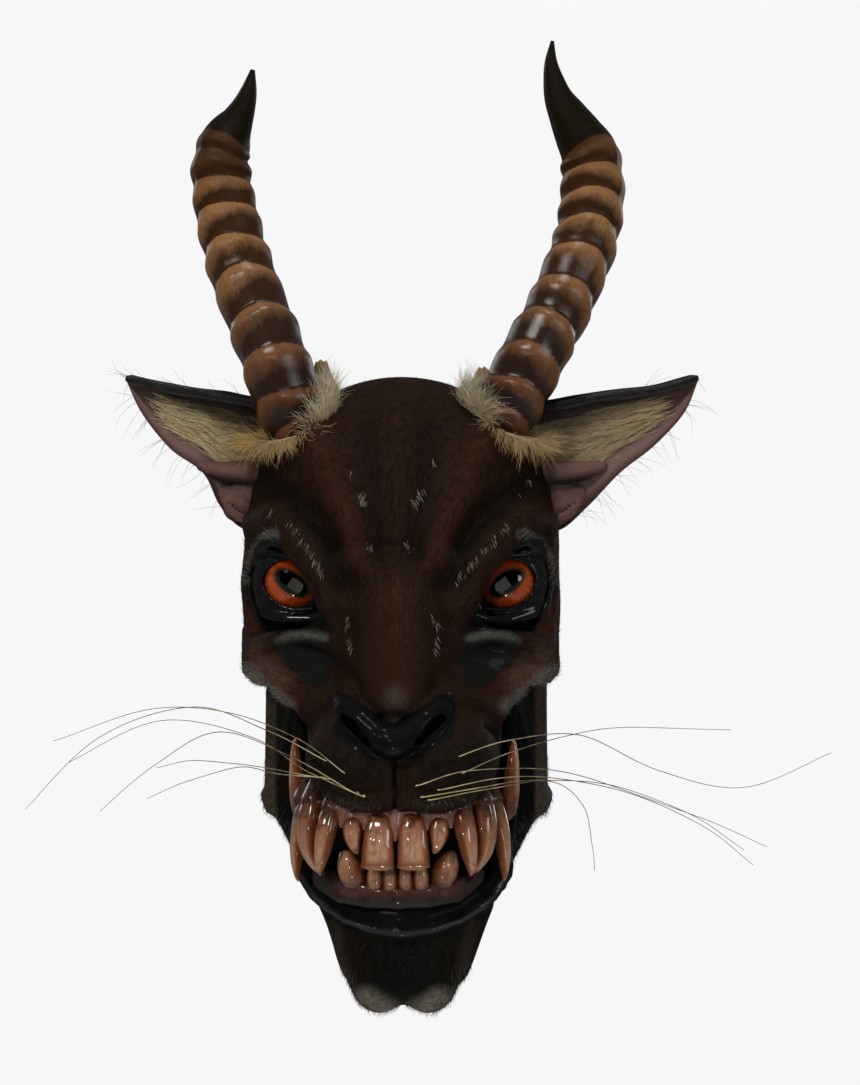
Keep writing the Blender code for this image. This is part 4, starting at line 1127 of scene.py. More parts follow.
def build_horn(side, material):
    """A horn whose rings swell towards their tops, above a smooth tip."""
    where = side_name(side)
    rows, sides = ((340, 64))
    line = smooth_path(HORNS[side], rows)
    run = np.concatenate([[0], np.cumsum(np.linalg.norm(np.diff(line[:, :3], axis=0), axis=1))])
    share = run / run[-1]
    grooves = np.interp(GROOVES[side][::-1], line[:, 2], run) - RING_LEAN[side]
    waves = rng.uniform(0, math.tau, 4)

    def ring_place(i, angles):
        """Counts rings upwards: a whole number is a groove."""
        at = (run[i] + RING_LEAN[side] * np.sin(angles) + 1.1 * np.sin(2 * angles + waves[0])
              + 0.7 * np.sin(3 * angles + run[i] * 0.05 + waves[1]))
        return np.interp(at, grooves, np.arange(len(grooves)))

    def halves(i, angles):
        place_on = ring_place(i, angles)
        phase = np.mod(place_on, 1)
        peak = 0.74 - 0.20 * ease(5, 10, place_on)
        swell = np.where(phase < peak, ease(-0.04, peak, phase) ** 1.4,
                         1 - ease(peak, 1.08, phase))
        ringed = 1 - ease(len(grooves) - 1.4, len(grooves) - 1.0, place_on)
        ripple = 0.22 * np.sin(9 * angles + 3 * np.sin(2 * angles + waves[2]))
        size = RING_HEIGHT * (0.75 + 0.25 * np.sin(place_on * 2.4 + waves[3]))
        radius = line[i, 3] + ringed * size * (swell - 0.65)
        radius = radius + ripple * np.minimum(1, line[i, 3] / 12)
        lump = 1 + 0.015 * np.cos(2 * angles + share[i] * 9)
        return np.maximum(radius * lump, 0.4), np.maximum(radius * lump, 0.4)

    points, faces, angles = tube_grid(line[:, :3], halves, sides, (1, 0, 0))
    # The foot ends in the skull's wall.
    deep = np.linalg.norm((points - DOME) / (DOME_RADII - FOOT_DEPTH), axis=1)[:, None]
    points = np.where(deep < 1, DOME + (points - DOME) / deep, points)
    places = ring_place(np.arange(rows)[:, None], angles[None, :])
    outer = 0.5 + 0.5 * np.cos(angles) * side
    phase = np.mod(places, 1)
    phase = phase * ease(1.0, 0.95, phase) + 0.30 * outer[None, :] ** 2
    spin = np.broadcast_to(angles[None, :], places.shape)
    grain = np.stack([22 * np.cos(spin), 22 * np.sin(spin),
                      np.broadcast_to(run[:, None] * 0.11, spin.shape)], -1).reshape(-1, 3)
    horn = mesh_object(f"horn_{where}_sheath", points, faces, material,
                       {"along": np.repeat(share, sides), "phase": phase.ravel(),
                        "tip": ease(len(grooves) - 1.06, len(grooves) - 1.0, places).ravel(),
                        "grain": grain})
    return place(horn, "mask", "horn", f"horn_{where}")


def skull_distance(points):
    """Rough distance above the skull's dome."""
    away = points - DOME
    share = np.linalg.norm(away / DOME_RADII, axis=1)
    slope = np.linalg.norm(away / DOME_RADII ** 2, axis=1)
    return share * (share - 1) / slope


def build_collar(side, hair):
    """The fur round a horn's foot: a golden tuft outside, a tall pale one inside."""
    where = side_name(side)
    count = 3600
    base = np.array(HORNS[side][2][:3])
    axis = unit(np.array(HORNS[side][3][:3]) - base)
    turn = rng.uniform(0, math.tau, count)
    across = unit(np.cross((0, 1, 0), axis))
    other = np.cross(axis, across)
    inward = -side * np.cos(turn)
    out = across * np.cos(turn)[:, None] + other * np.sin(turn)[:, None]
    reach = rng.uniform(22, 31, count) + 3 * np.abs(inward)
    # Each root slides down the horn until it meets the skull.
    rise = np.full(count, 24.0)
    for _ in range(60):
        gap = skull_distance(base + axis * rise[:, None] + out * reach[:, None])
        rise = np.where(gap > 0.5, rise - 1, rise)
    front = np.maximum(-np.sin(turn), 0)
    rise = np.maximum(rise, -14 - 4 * front)
    roots = base + axis * rise[:, None] + out * reach[:, None]
    clump = np.sin(turn * 13 + reach * 0.3) * 0.5 + np.sin(turn * 31 + reach * 0.5) * 0.35
    swirl = np.cross(axis, out)
    inner = ease(-0.1, 0.6, inward)[:, None]
    outer = ease(-0.1, -0.7, inward)[:, None]
    short = ((1 - inner) * (1 - outer))[:, 0]
    falls = (front * (1 - inner[:, 0]))[:, None]
    ways = (axis * (0.15 + 1.1 * inner + 0.35 * outer * (clump[:, None] > 0) - 1.0 * falls)
            + out * (0.45 + 0.5 * outer - 0.35 * inner) + np.array((0, -0.25, -0.1))
            + swirl * (0.6 * clump[:, None]) + rng.normal(0, 0.34, (count, 3)))
    lengths = (8 + 16 * rng.random(count) ** 1.6) * (1 - 0.30 * short) * (1 + 0.45 * clump)
    lengths += 10 * inner[:, 0] * rng.random(count) ** 2
    bright = (1.0 if side < 0 else 0.85) * (0.80 + 0.40 * clump[:, None] ** 2)
    gold = bright * tints(count, (0.42, 0.25, 0.075), (0.80, 0.54, 0.20))
    pale = bright * tints(count, (0.62, 0.54, 0.36), (0.92, 0.86, 0.66))
    tips = np.clip(gold * 1.25 + (pale - gold * 1.25) * inner, 0, 0.95)
    obj = strands(f"horn_{where}_fur", roots, ways, lengths, 0.19, np.clip(gold * 0.35, 0, 0.9),
                  tips, hair, bends=4, droop=tuple(-0.3 * axis + np.array((0, 0.05, -0.1))),
                  curl=0.6)
    place(obj, "mask", "fur", f"horn_fur_{where}")


def build_hide(side, material):
    """A ragged flap of hide that stands behind the collar."""
    where = side_name(side)
    low, high = [np.array(v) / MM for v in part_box(f"hide_flap_{where}")]
    rows, cols = 14, 14
    front, back = [], []
    for j in range(rows):
        rise = j / (rows - 1)
        for i in range(cols):
            over = i / (cols - 1)
            x = low[0] + (high[0] - low[0]) * over
            top = high[2] - 7 * (2 * over - 1) ** 4 - 1.6 * math.sin(9 * over + side) ** 2
            z = -6 + (top + 6) * rise
            x += side * 10 * rise * (over if side < 0 else 1 - over)
            y = low[1] + 1 + 2.0 * (2 * over - 1) ** 2 + 1.1 * math.sin(5 * over + 3 * rise)
            front.append((x, min(y, high[1]), z))
            back.append((x, min(y + 2.2 - rise, high[1]), z))
    points, faces = closed_sheet(np.array(front), np.array(back), rows, cols)
    flap = mesh_object(f"hide_{where}", points, faces, material)
    tidy(flap)
    place(flap, "mask", "hide", f"hide_flap_{where}")


def tidy(obj):
    """Turns every face outwards."""
    bm = bmesh.new()
    bm.from_mesh(obj.data)
    bmesh.ops.recalc_face_normals(bm, faces=bm.faces)
    bm.to_mesh(obj.data)
    bm.free()


# ---------------------------------------------------------------- ears

EAR_TOP = {-1: [(78, -9), (104, -3), (131, 0), (165, 4), (194, 9)],
           1: [(78, -8), (108, -5), (140, -1), (176, 2), (209, 9)]}
EAR_LOW = {-1: [(94, -94), (112, -96), (128, -80), (140, -57), (163, -40), (183, -15), (194, 8)],
           1: [(94, -94), (112, -97), (132, -80), (154, -57), (178, -38), (199, -15), (209, 8)]}


def ear_point(side, along, over):
    """A point on an ear's front surface. along runs from head to tip, over from top to bottom."""
    top = smooth_path(EAR_TOP[side], 101)
    low = smooth_path(EAR_LOW[side], 101)
    j = along * 100
    i = np.minimum(j.astype(int), 99)
    t = (j - i)[:, None]
    a = top[i] * (1 - t) + top[i + 1] * t
    b = low[i] * (1 - t) + low[i + 1] * t
    spot = a + (b - a) * over[:, None]
    cup = 17.0 * np.sin(math.pi * np.clip(over, 0, 1)) ** 0.8 * (1 - along) ** 0.6
    y = -34.0 + 4.0 * over - 4.0 * along + cup
    lobe = ease(0.62, 1.0, over) * ease(0.5, 0.1, along)
    y = y - 6 * lobe + 1.6 * lobe * np.sin(over * 46 + along * 9)
    return np.stack([spot[:, 0] * side, y, spot[:, 1]], 1)


def build_ear(side, skin, hair):
    """An ear's cupped skin, with its rim, lobe, lining and stray hairs."""
    where = side_name(side)
    rows, cols = ((90, 64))
    along, over = np.meshgrid(np.linspace(0, 1, rows), np.linspace(0, 1, cols), indexing="ij")
    along, over = along.ravel(), over.ravel()
    front = ear_point(side, along, over)
    thick = 1.2 + 3.6 * (np.sin(math.pi * over) ** 0.5) * (1 - 0.7 * along)
    back = front + np.stack([np.zeros_like(thick), thick, np.zeros_like(thick)], 1)
    back[:, 1] = np.minimum(back[:, 1], -9.0)
    points, faces = closed_sheet(front, back, rows, cols)
    along, over = np.tile(along, 2), np.tile(over, 2)
    behind = np.repeat((0.0, 1.0), len(front))
    paint = np.tile((0.060, 0.029, 0.024), (len(points), 1))
    paint = layer(paint, (0.21, 0.125, 0.110), ease(0.62, 0.8, over) * ease(1.0, 0.85, over))
    paint = layer(paint, (0.012, 0.007, 0.006),
                  ease(0.78, 0.98, over) * ease(0.5, 0.2, along) * 0.8)
    paint = layer(paint, (0.006, 0.006, 0.006), ease(0.2, 0.10, over))
    paint = layer(paint, (0.030, 0.016, 0.012), behind)
    ear = mesh_object(f"ear_{where}_skin", points, faces, skin,
                      {"paint": paint, "gloss": np.zeros(len(points))})
    tidy(ear)
    place(ear, "mask", "ear", f"ear_{where}")
    build_rim(side, skin)
    build_lobe(side, skin)
    build_lining_fur(side, hair)
    build_strays(side, hair)


def build_strays(side, hair):
    """Long single hairs on the edges of an ear."""
    where = side_name(side)
    count = 46
    along = rng.uniform(0.25, 1.0, count)
    over = np.where(rng.random(count) < 0.75, 0.97, 0.03)
    root = ear_point(side, along, over)
    ways = np.stack([side * rng.uniform(0.2, 1.0, count), rng.normal(0, 0.25, count),
                     np.where(over > 0.5, rng.uniform(-1.0, 0.1, count), 0.4)], 1)
    obj = strands(f"ear_{where}_strays", root, ways, rng.uniform(12, 28, count), 0.15,
                  tints(count, (0.05, 0.035, 0.025), (0.12, 0.08, 0.05)),
                  tints(count, (0.10, 0.07, 0.045), (0.25, 0.18, 0.11)), hair, bends=6,
                  droop=(0, 0, -0.5), curl=0.5)
    keep_inside(obj, 6.0)
    place(obj, "mask", "fur")


def closed_sheet(front, back, rows, cols):
    """Points and faces of a sheet from its front and back grids."""
    grid = rows * cols
    faces = []
    for j in range(rows - 1):
        for i in range(cols - 1):
            a = j * cols + i
            faces.append((a, a + 1, a + cols + 1, a + cols))
            faces.append((grid + a, grid + a + cols, grid + a + cols + 1, grid + a + 1))
        for a in (j * cols, j * cols + cols - 1):
            faces.append((a, a + cols, grid + a + cols, grid + a))
    for i in range(cols - 1):
        for a in (i, (rows - 1) * cols + i):
            faces.append((a, grid + a, grid + a + 1, a + 1))
    return np.vstack([front, back]), faces


def build_rim(side, skin):
    """The rolled black edge along the top of an ear."""
    where = side_name(side)
    rows, sides = 90, 18
    along = np.linspace(0.0, 1.0, rows)
    line = ear_point(side, along, np.full(rows, 0.055))
    line[:, 1] -= 2.0
    line[:, 2] += 0.8

    def halves(i, angles):
        t = along[i]
        size = (4.6 - 1.2 * t) * np.sqrt(np.clip((1.012 - t) / 0.05, 0.04, 1))
        wave = 1 + 0.06 * np.sin(t * 21 + side) + 0.03 * np.sin(3 * angles + t * 17)
        return size * wave, 0.62 * size * wave

    points, faces, angles = tube_grid(line, halves, sides, (0, 0, 1))
    spin = np.tile(angles, rows)
    paint = np.tile((0.0055, 0.0060, 0.0062), (len(points), 1))
    paint = layer(paint, (0.060, 0.055, 0.045), 0.55 * ease(-0.55, -0.95, np.cos(spin)))
    rim = mesh_object(f"ear_{where}_rim", points, faces, skin,
                      {"paint": paint, "gloss": np.full(len(points), 0.9)})
    tidy(rim)
    place(rim, "mask", "ear")


def build_lobe(side, skin):
    """The folds at the foot of an ear: a smooth one, and a wrinkled one under it."""
    where = side_name(side)
    spot = [side * 122, -34, -70]
    clay = Clay([spot[0] - 28, -52, -102], [spot[0] + 28, -10, -38], FINE)
    own = (side,)
    clay.chain([(141, -27, -52, 4), (126, -31, -56, 7), (108, -33, -57, 9), (98, -32, -60, 9)], 5,
               sides=own)
    clay.chain([(125, -25, -74, 6), (117, -29, -82, 9), (106, -31, -88, 9.5)], 5, sides=own)
    clay.chain([(125, -25, -70, 4.5), (110, -30, -73, 8), (101, -31, -76, 9)], 4, sides=own)
    for n in range(11):
        share = n / 10
        tip = (129 - 17 * share, -34, -68 - 27 * share)
        mid = (116 - 9 * share, -40.5 + 1.2 * math.sin(9 * share), -69.5 - 16 * share)
        clay.chain([(*tip, 1.1), (*mid, 1.5), (100, -40.5, -70 - 5 * share, 1.1)], 1.2, cut=True,
                   sides=own)
    clay.chain([(134, -33, -61, 0.8), (118, -39, -64.5, 1.4), (100, -42, -66.5, 1.4)], 2, cut=True,
               sides=own)
    points, quads = clay.surface(1)
    p = folded(points)
    paint = np.tile((0.155, 0.077, 0.064), (len(points), 1))
    # The first stroke darkens the crease under the smooth fold: painted shade.
    paint = brush(paint, p, (
        ((0.016, 0.009, 0.008), 1, [(134, -61), (118, -63.5), (98, -65)], 7),
        ((0.075, 0.068, 0.060), 0.7, [(127, -66), (100, -68)], 2.4),
        ((0.030, 0.013, 0.011), 0.6, [(104, -58), (104, -94)], 10),
    ))
    obj = mesh_object(f"ear_{where}_lobe", points, quads, skin,
                      {"paint": paint, "gloss": np.full(len(points), 0.35)})
    place(obj, "mask", "ear")


def build_lining_fur(side, hair):
    """Pale hair that fans out from the foot of an ear towards its tip, in tapering locks."""
    where = side_name(side)
    count = 3800
    along = rng.uniform(0.0, 1.0, count) ** 1.3 * 0.66
    over = rng.uniform(0.17, 0.72, count)
    # Each hair leans on the core of the nearest lock. Locks are a tenth of the ear apart.
    shift = 0.37 * np.floor(along * 8)
    core = (np.round(over * 10 + shift + 0.6 * along) - shift - 0.6 * along) / 10
    stray = np.abs(over - core) * 20
    root = ear_point(side, along, core + (over - core) * 0.7)
    fan = 0.45 + (core + 0.2 * (over - core) - 0.45) * 0.85
    ahead = unit(ear_point(side, np.minimum(along + 0.16, 1), np.clip(fan, 0.05, 0.9)) - root)
    ways = ahead + np.array((0, -0.24, -0.04)) + rng.normal(0, 0.06, (count, 3))
    lengths = rng.uniform(16, 38, count) * (1 - 0.40 * along) * (1.2 - 0.7 * stray)
    # Hairs are darker at the edges of each lock and close to the rim, as painted shade between the
    # locks and under the rim; they are darker near the root as well.
    deep = ease(0.17, 0.32, over) * ease(1.0, 0.35, stray) * ease(0.0, 0.10, along)
    bright = ((1.30 if side < 0 else 1.0) * (0.05 + 0.95 * deep ** 1.5))[:, None]
    obj = strands(f"ear_{where}_hair", root, ways, lengths, 0.19,
                  np.clip(bright * tints(count, (0.12, 0.075, 0.034), (0.42, 0.29, 0.13)), 0, 0.9),
                  np.clip(bright * tints(count, (0.62, 0.44, 0.20), (0.98, 0.84, 0.54)), 0, 0.95),
                  hair, bends=4, droop=(0, 0.22, -0.12), curl=0.14)
    place(obj, "mask", "fur", f"ear_fur_{where}")


def keep_inside(obj, margin):
    """Pulls points that stray too far back towards the CAD's box."""
    low, high = [np.array(v) / MM for v in CAD_BOX]
    mesh = obj.data
    points = np.empty(len(mesh.vertices) * 3, np.float32)
    mesh.vertices.foreach_get("co", points)
    points = np.clip(points.reshape(-1, 3) / MM, low - margin, high + margin)
    mesh.vertices.foreach_set("co", (points * MM).astype(np.float32).ravel())


# ---------------------------------------------------------------- eyes

def bmesh_object(name, bm):
    """An object from a bmesh in millimetres, with its faces turned outwards."""
    bmesh.ops.recalc_face_normals(bm, faces=bm.faces)
    bmesh.ops.scale(bm, vec=(MM, MM, MM), verts=bm.verts)
    mesh = bpy.data.meshes.new(name)
    bm.to_mesh(mesh)
    bm.free()
    obj = bpy.data.objects.new(name, mesh)
    bpy.context.scene.collection.objects.link(obj)
    return obj


def eye_cap(name, centre):
    """The front of a hollow ball, 3 mm thick."""
    rings, spokes = ((48, 96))
    bm = bmesh.new()
    shells = []
    for radius in (EYE_RADIUS, EYE_RADIUS - 3):
        shell = []
        for i in range(1, rings + 1):
            a = math.radians(80) * i / rings
            ring = []
            for k in range(spokes):
                t = math.tau * k / spokes
                spot = centre + radius * np.array((math.sin(a) * math.cos(t), -math.cos(a),
                                                   math.sin(a) * math.sin(t)))
                ring.append(bm.verts.new(spot))
            shell.append(ring)
        shells.append(shell)
    for shell in shells:
        bm.faces.new(shell[0])
        for low, high in zip(shell, shell[1:]):
            for k in range(spokes):
                n = (k + 1) % spokes
                bm.faces.new((low[k], low[n], high[n], high[k]))
    outer, inner = shells[0][-1], shells[1][-1]
    for k in range(spokes):
        n = (k + 1) % spokes
        bm.faces.new((outer[k], outer[n], inner[n], inner[k]))
    return bmesh_object(name, bm)


def slot_cutter(centre, lean):
    """A slot with round ends, 18 long and 8.4 high, that goes right through an eye."""
    half, end = 9, 4.2
    bm = bmesh.new()
    ring = []
    for k in range(40):
        turn = math.tau * (k + 0.5) / 40
        u = math.copysign(half - end, math.cos(turn)) + end * math.cos(turn)
        v = end * math.sin(turn)
        x, z = u * math.cos(lean) - v * math.sin(lean), u * math.sin(lean) + v * math.cos(lean)
        ring.append(bm.verts.new(centre + (x, -34, z)))
    made = bmesh.ops.extrude_face_region(bm, geom=[bm.faces.new(ring)])
    back = [v for v in made["geom"] if isinstance(v, bmesh.types.BMVert)]
    bmesh.ops.translate(bm, vec=(0, 30, 0), verts=back)
    return bmesh_object("slot", bm)


def build_eye(side, iris, black, shade_mesh, shade_patch):
    """An eye with a leaning slot for its pupil, then what is behind and around it."""
    where = side_name(side)
    centre = EYE * (side, 1, 1)
    lean = PUPIL_LEAN * side
    eye = eye_cap(f"eye_{where}_shell", centre)
    cutter = slot_cutter(centre, lean)
    cut = eye.modifiers.new("slot", "BOOLEAN")
    cut.object = cutter
    cut.solver = "EXACT"
    graph = bpy.context.evaluated_depsgraph_get()
    mesh = bpy.data.meshes.new_from_object(eye.evaluated_get(graph))
    eye.modifiers.clear()
    eye.data = mesh
    bpy.data.objects.remove(cutter)

    points = np.empty(len(mesh.vertices) * 3, np.float32)
    mesh.vertices.foreach_get("co", points)
    away = points.reshape(-1, 3) / MM - centre
    u = away[:, 0] * math.cos(lean) + away[:, 2] * math.sin(lean)
    v = away[:, 2] * math.cos(lean) - away[:, 0] * math.sin(lean)
    values = np.stack([u, v, away[:, 1]], 1).astype(np.float32)
    mesh.attributes.new("iris", "FLOAT_VECTOR", "POINT").data.foreach_set("vector", values.ravel())
    mesh.materials.clear()
    mesh.materials.append(iris)
    mesh.shade_smooth()
    mesh.set_sharp_from_angle(angle=math.radians(50))
    place(eye, "mask", "iris", f"eye_{where}")
    build_shade_mesh(side, shade_mesh, shade_patch)
    build_lids(side, black)


def build_shade_mesh(side, shade_mesh, shade_patch):
    """Fine gauze behind a pupil, with a patch of black felt behind the outer half; both are painted
    shade, for the dark inside of the mask seen through the slot.
    """
    bars = [((u, 0), (0.255, 4.9)) for u in np.arange(-9.6, 9.7, 0.62)]
    bars += [((0, v), (9.8, 0.255)) for v in np.arange(-4.7, 4.8, 0.62)]
    patch = [((6.2 * side, 0.6), (4.6, 4.6))]
    where = side_name(side)
    for name, sheets, material in ((f"pupil_shade_mesh_{where}", bars, shade_mesh),
                                   (f"pupil_shade_patch_{where}", patch, shade_patch)):
        obj = mesh_object(name, *pupil_slats(side, sheets), material, smooth=False)
        tidy(obj)
        place(obj, "mask", "leather")


def pupil_slats(side, bars):
    """Thin boxes behind a pupil, each given by its middle and half sizes along the slot."""
    lean = PUPIL_LEAN * side
    centre = EYE * (side, 1, 1) - (0, 20.2, 0)
    points, faces = [], []
    for (u, v), (wide, high) in bars:
        for y in (-0.18, 0.18):
            for a, b in ((-1, -1), (1, -1), (1, 1), (-1, 1)):
                p, q = u + a * wide, v + b * high
                points.append((p * math.cos(lean) - q * math.sin(lean), y,
                               p * math.sin(lean) + q * math.cos(lean)))
        n = len(points) - 8
        faces += [(n, n + 1, n + 2, n + 3), (n + 7, n + 6, n + 5, n + 4)]
        faces += [(n + k, n + 4 + k, n + 4 + (k + 1) % 4, n + (k + 1) % 4) for k in range(4)]
    return np.array(points) + centre, faces


def build_lids(side, black):
    """Glossy black lids: folds round an almond opening, and a wet roll under it."""
    where = side_name(side)
    centre = EYE * (side, 1, 1)

    clay = Clay(centre - (36, 36, 39), centre + (36, 8, 39), FINE)
    own = (side,)
    clay.ball((75, -62, -134), (29.6, 19.5, 33.4), 1, sides=own)
    around = np.linspace(0, math.tau, 25)
    clay.chain([(75 + 27 * math.cos(t), -57, -134 + 29 * math.sin(t), 5.5) for t in around], 2,
               sides=own)
    inside = np.linspace(1.3, 5.0, 16)
    clay.chain([(75 + 28 * math.cos(t), -71, -134 + 31 * math.sin(t), 5.5) for t in inside], 3,
               sides=own)
    clay.chain([(53, -78, -122, 5), (49, -77, -134, 6), (47, -76, -146, 6.5), (51, -74, -158, 6)], 2,
               sides=own)
    clay.chain([(100, -62, -120, 3), (98, -68, -110, 4), (88, -76, -104, 5), (75, -82, -109, 5),
                (64, -85, -119, 5), (55, -86, -132, 4)], 5, sides=own)
    clay.chain([(98, -70, -124, 1.2), (89, -78, -114, 1.5), (76, -84, -115.5, 1.6),
                (64, -87, -125, 1.6), (57, -86, -138, 1.2)], 2.5, sides=own)
    clay.chain([(101, -60, -143, 4), (93, -70, -155, 5), (77, -77, -160, 5.5), (61, -80, -160, 5),
                (50, -84, -156, 4)], 3, sides=own)
    clay.chain([(97, -66, -139, 2), (88, -75, -149, 2.4), (74, -79, -153, 2.4),
                (60, -80, -152, 2)], 1.2, sides=own)
    clay.chain([(58, -84, -164, 1.2), (78, -81, -168, 1.2), (94, -72, -163, 1.2)], 2, cut=True,
               sides=own)
    clay.ball((75, -58, -134), (EYE_RADIUS + 0.5,) * 3, 0.6, cut=True, sides=own)
    clay.ball((75, -80, -134.5), (20.5, 30, 15.8), 1.6, cut=True, turn=16, sides=own)
    clay.chain([(62, -84, -141, 6), (55, -84, -146, 2.5)], 2, cut=True, sides=own)
    clay.box((centre[0] - 40, -53, -180), (centre[0] + 40, -10, -90))
    points, quads = clay.surface(3)
    lid = mesh_object(f"lids_{where}", points, quads, black)
    place(lid, "mask", "lid", f"eyelid_{where}")


# ---------------------------------------------------------------- teeth and gums

# Each tooth: the turn of its face, and root-to-tip rows of (x, y, z, half width, half depth).
UPPER_TEETH = {
    "upper_incisor": (0, [(11.0, -139, -285, 3.5, 4), (11.2, -143, -294, 6.4, 5.6),
                          (11.6, -147, -303, 9.6, 6.4), (12.0, -149.5, -314, 10.6, 6.2),
                          (12.3, -151, -324, 11.1, 5.0), (12.6, -151.5, -331.5, 11.6, 2.8)]),
    "upper_lateral": (10, [(30, -136, -288, 3, 3.5), (29.8, -140.5, -297, 5.4, 5),
                           (29.8, -143.5, -306, 6.9, 5.2), (28.6, -144, -314, 4.6, 3.8),
                           (26.6, -143.5, -320.5, 1.5, 1.4)]),
    "inner_fang": (35, [(43, -128, -281, 4, 4), (45.5, -133, -292, 7.0, 6.4),
                        (48, -138, -305, 7.6, 6.6), (50.5, -140, -319, 6.0, 5.4),
                        (52, -139.5, -330, 3.2, 3.2), (51.5, -138, -335.5, 1.0, 1.0)]),
    "middle_fang": (50, [(55, -112, -274, 5, 4), (59, -119, -288, 8.2, 7.0),
                         (61.5, -124, -303, 8.6, 6.8), (60.5, -126, -318, 6.6, 5.4),
                         (55.5, -127, -329, 3.6, 3.2), (51.5, -127, -334, 1.1, 1.1)]),
    "outer_fang": (65, [(61, -96, -272, 5, 4), (66.5, -104, -288, 7.4, 6.6),
                        (71, -110, -304, 7.6, 6.0), (73.5, -114, -320, 5.6, 4.8),
                        (74.2, -118, -332, 3.0, 2.8), (73.8, -120, -340, 0.9, 0.9)]),
}
LOWER_TEETH = {
    "lower_inner_incisor": (0, [(5.6, -124, -352, 3, 3), (5.5, -131, -345, 4.6, 4.2),
                                (5.2, -135, -338.5, 5.1, 5.0), (5.3, -135, -332, 4.4, 3.6),
                                (5.3, -134, -328.5, 3.0, 2.2)]),
    "lower_outer_incisor": (10, [(16.5, -122, -351, 3.4, 3), (16.2, -129, -344.5, 5.0, 4.4),
                                 (15.9, -133, -338, 5.7, 5.2), (15.8, -133, -331, 5.0, 3.8),
                                 (15.8, -132, -327.5, 3.4, 2.4)]),
    "lower_canine": (30, [(28.5, -118, -348, 4, 4), (29.5, -123.5, -341.5, 7.6, 7.2),
                          (32.0, -128, -333.5, 9.6, 8.6), (34.8, -128, -326, 7.8, 7.0),
                          (37.0, -126.5, -321.5, 4.4, 4.0), (38.0, -125.5, -319.8, 1.8, 1.8)]),
}
TUSKS = {
    "tusk": (75, [(70, -89, -303, 4.4, 4.4), (71.5, -91, -294, 6.0, 5.8),
                  (73.6, -93, -283, 6.4, 6.0), (74.6, -94, -270, 5.9, 5.4),
                  (75.6, -95, -257, 4.2, 4.0), (76.0, -95.5, -247, 2.2, 2.2),
                  (75.6, -96, -242, 0.8, 0.8)]),
}


def tooth_power(kind):
    """How square a tooth is across: 1 is round, and less is squarer."""
    if kind == "upper_incisor":
        return 0.72
    return 0.86 if "incisor" in kind else 0.95


def build_teeth(teeth, middle, body, material):
    """A pair of each kind of tooth, each a little bent, ridged and dented in its own way."""
    rows, sides = 40, 32
    for kind, (turn, knots) in teeth.items():
        for side in SIDES:
            name = f"{kind}_{side_name(side)}"
            line = smooth_path(knots, rows)
            if (kind, side) == ("outer_fang", -1):
                line[:, 0] -= 5.5 * np.linspace(0.4, 1, rows)
            line[:, 0] = middle + line[:, 0] * side
            lean = math.radians(turn) * side
            across = np.array((math.cos(lean), math.sin(lean), 0))
            bend = rng.uniform(-1, 1, 4)
            t = np.linspace(0, 1, rows)
            line[:, 0] += 0.5 * bend[0] * t ** 2
            line[:, 2] += 0.8 * bend[2] * t
            power = tooth_power(kind)

            def halves(i, angles):
                square = np.abs(np.cos(angles)) ** (2 / power) + np.abs(np.sin(angles)) ** (2 / power)
                size = square ** (-power / 2)
                ridge = 1 + 0.022 * np.sin(7 * angles + bend[1] * 6) + 0.014 * np.sin(
                    i * 0.7 + 3 * angles)
                dent = 1 - 0.10 * np.exp(-((angles - math.pi / 2 - 0.5 * bend[3]) / 0.22) ** 2)
                end = np.sqrt(np.clip((rows - 1 - i) / 2.2, 0.10, 1))
                return (line[i, 3] * size * ridge * end,
                        line[i, 4] * size * ridge * dent * end)

            points, faces, angles = tube_grid(line[:, :3], halves, sides, across)
            along = np.repeat(t, sides)
            spin = np.tile(angles, rows)
            centres = np.repeat(line[:, :3], sides, 0)
            # facing is 1 on the middle of a tooth's front and 0 at its sides and back; from it the
            # resin paints a highlight on the middle and shade at the sides.
            wide = np.abs((points - centres) @ across)
            facing = 1 - (wide / np.repeat(line[:, 3], sides)) ** 2
            facing = np.where((points - centres)[:, 1] < 0, np.clip(facing, 0, 1), 0)
            grain = np.stack([7 * np.cos(spin), 7 * np.sin(spin), along * 6], 1)
            tooth = mesh_object(f"{name}_enamel", points, faces, material,
                                {"along": along, "facing": facing, "grain": grain})
            tidy(tooth)
            place(tooth, body, "tooth", name)


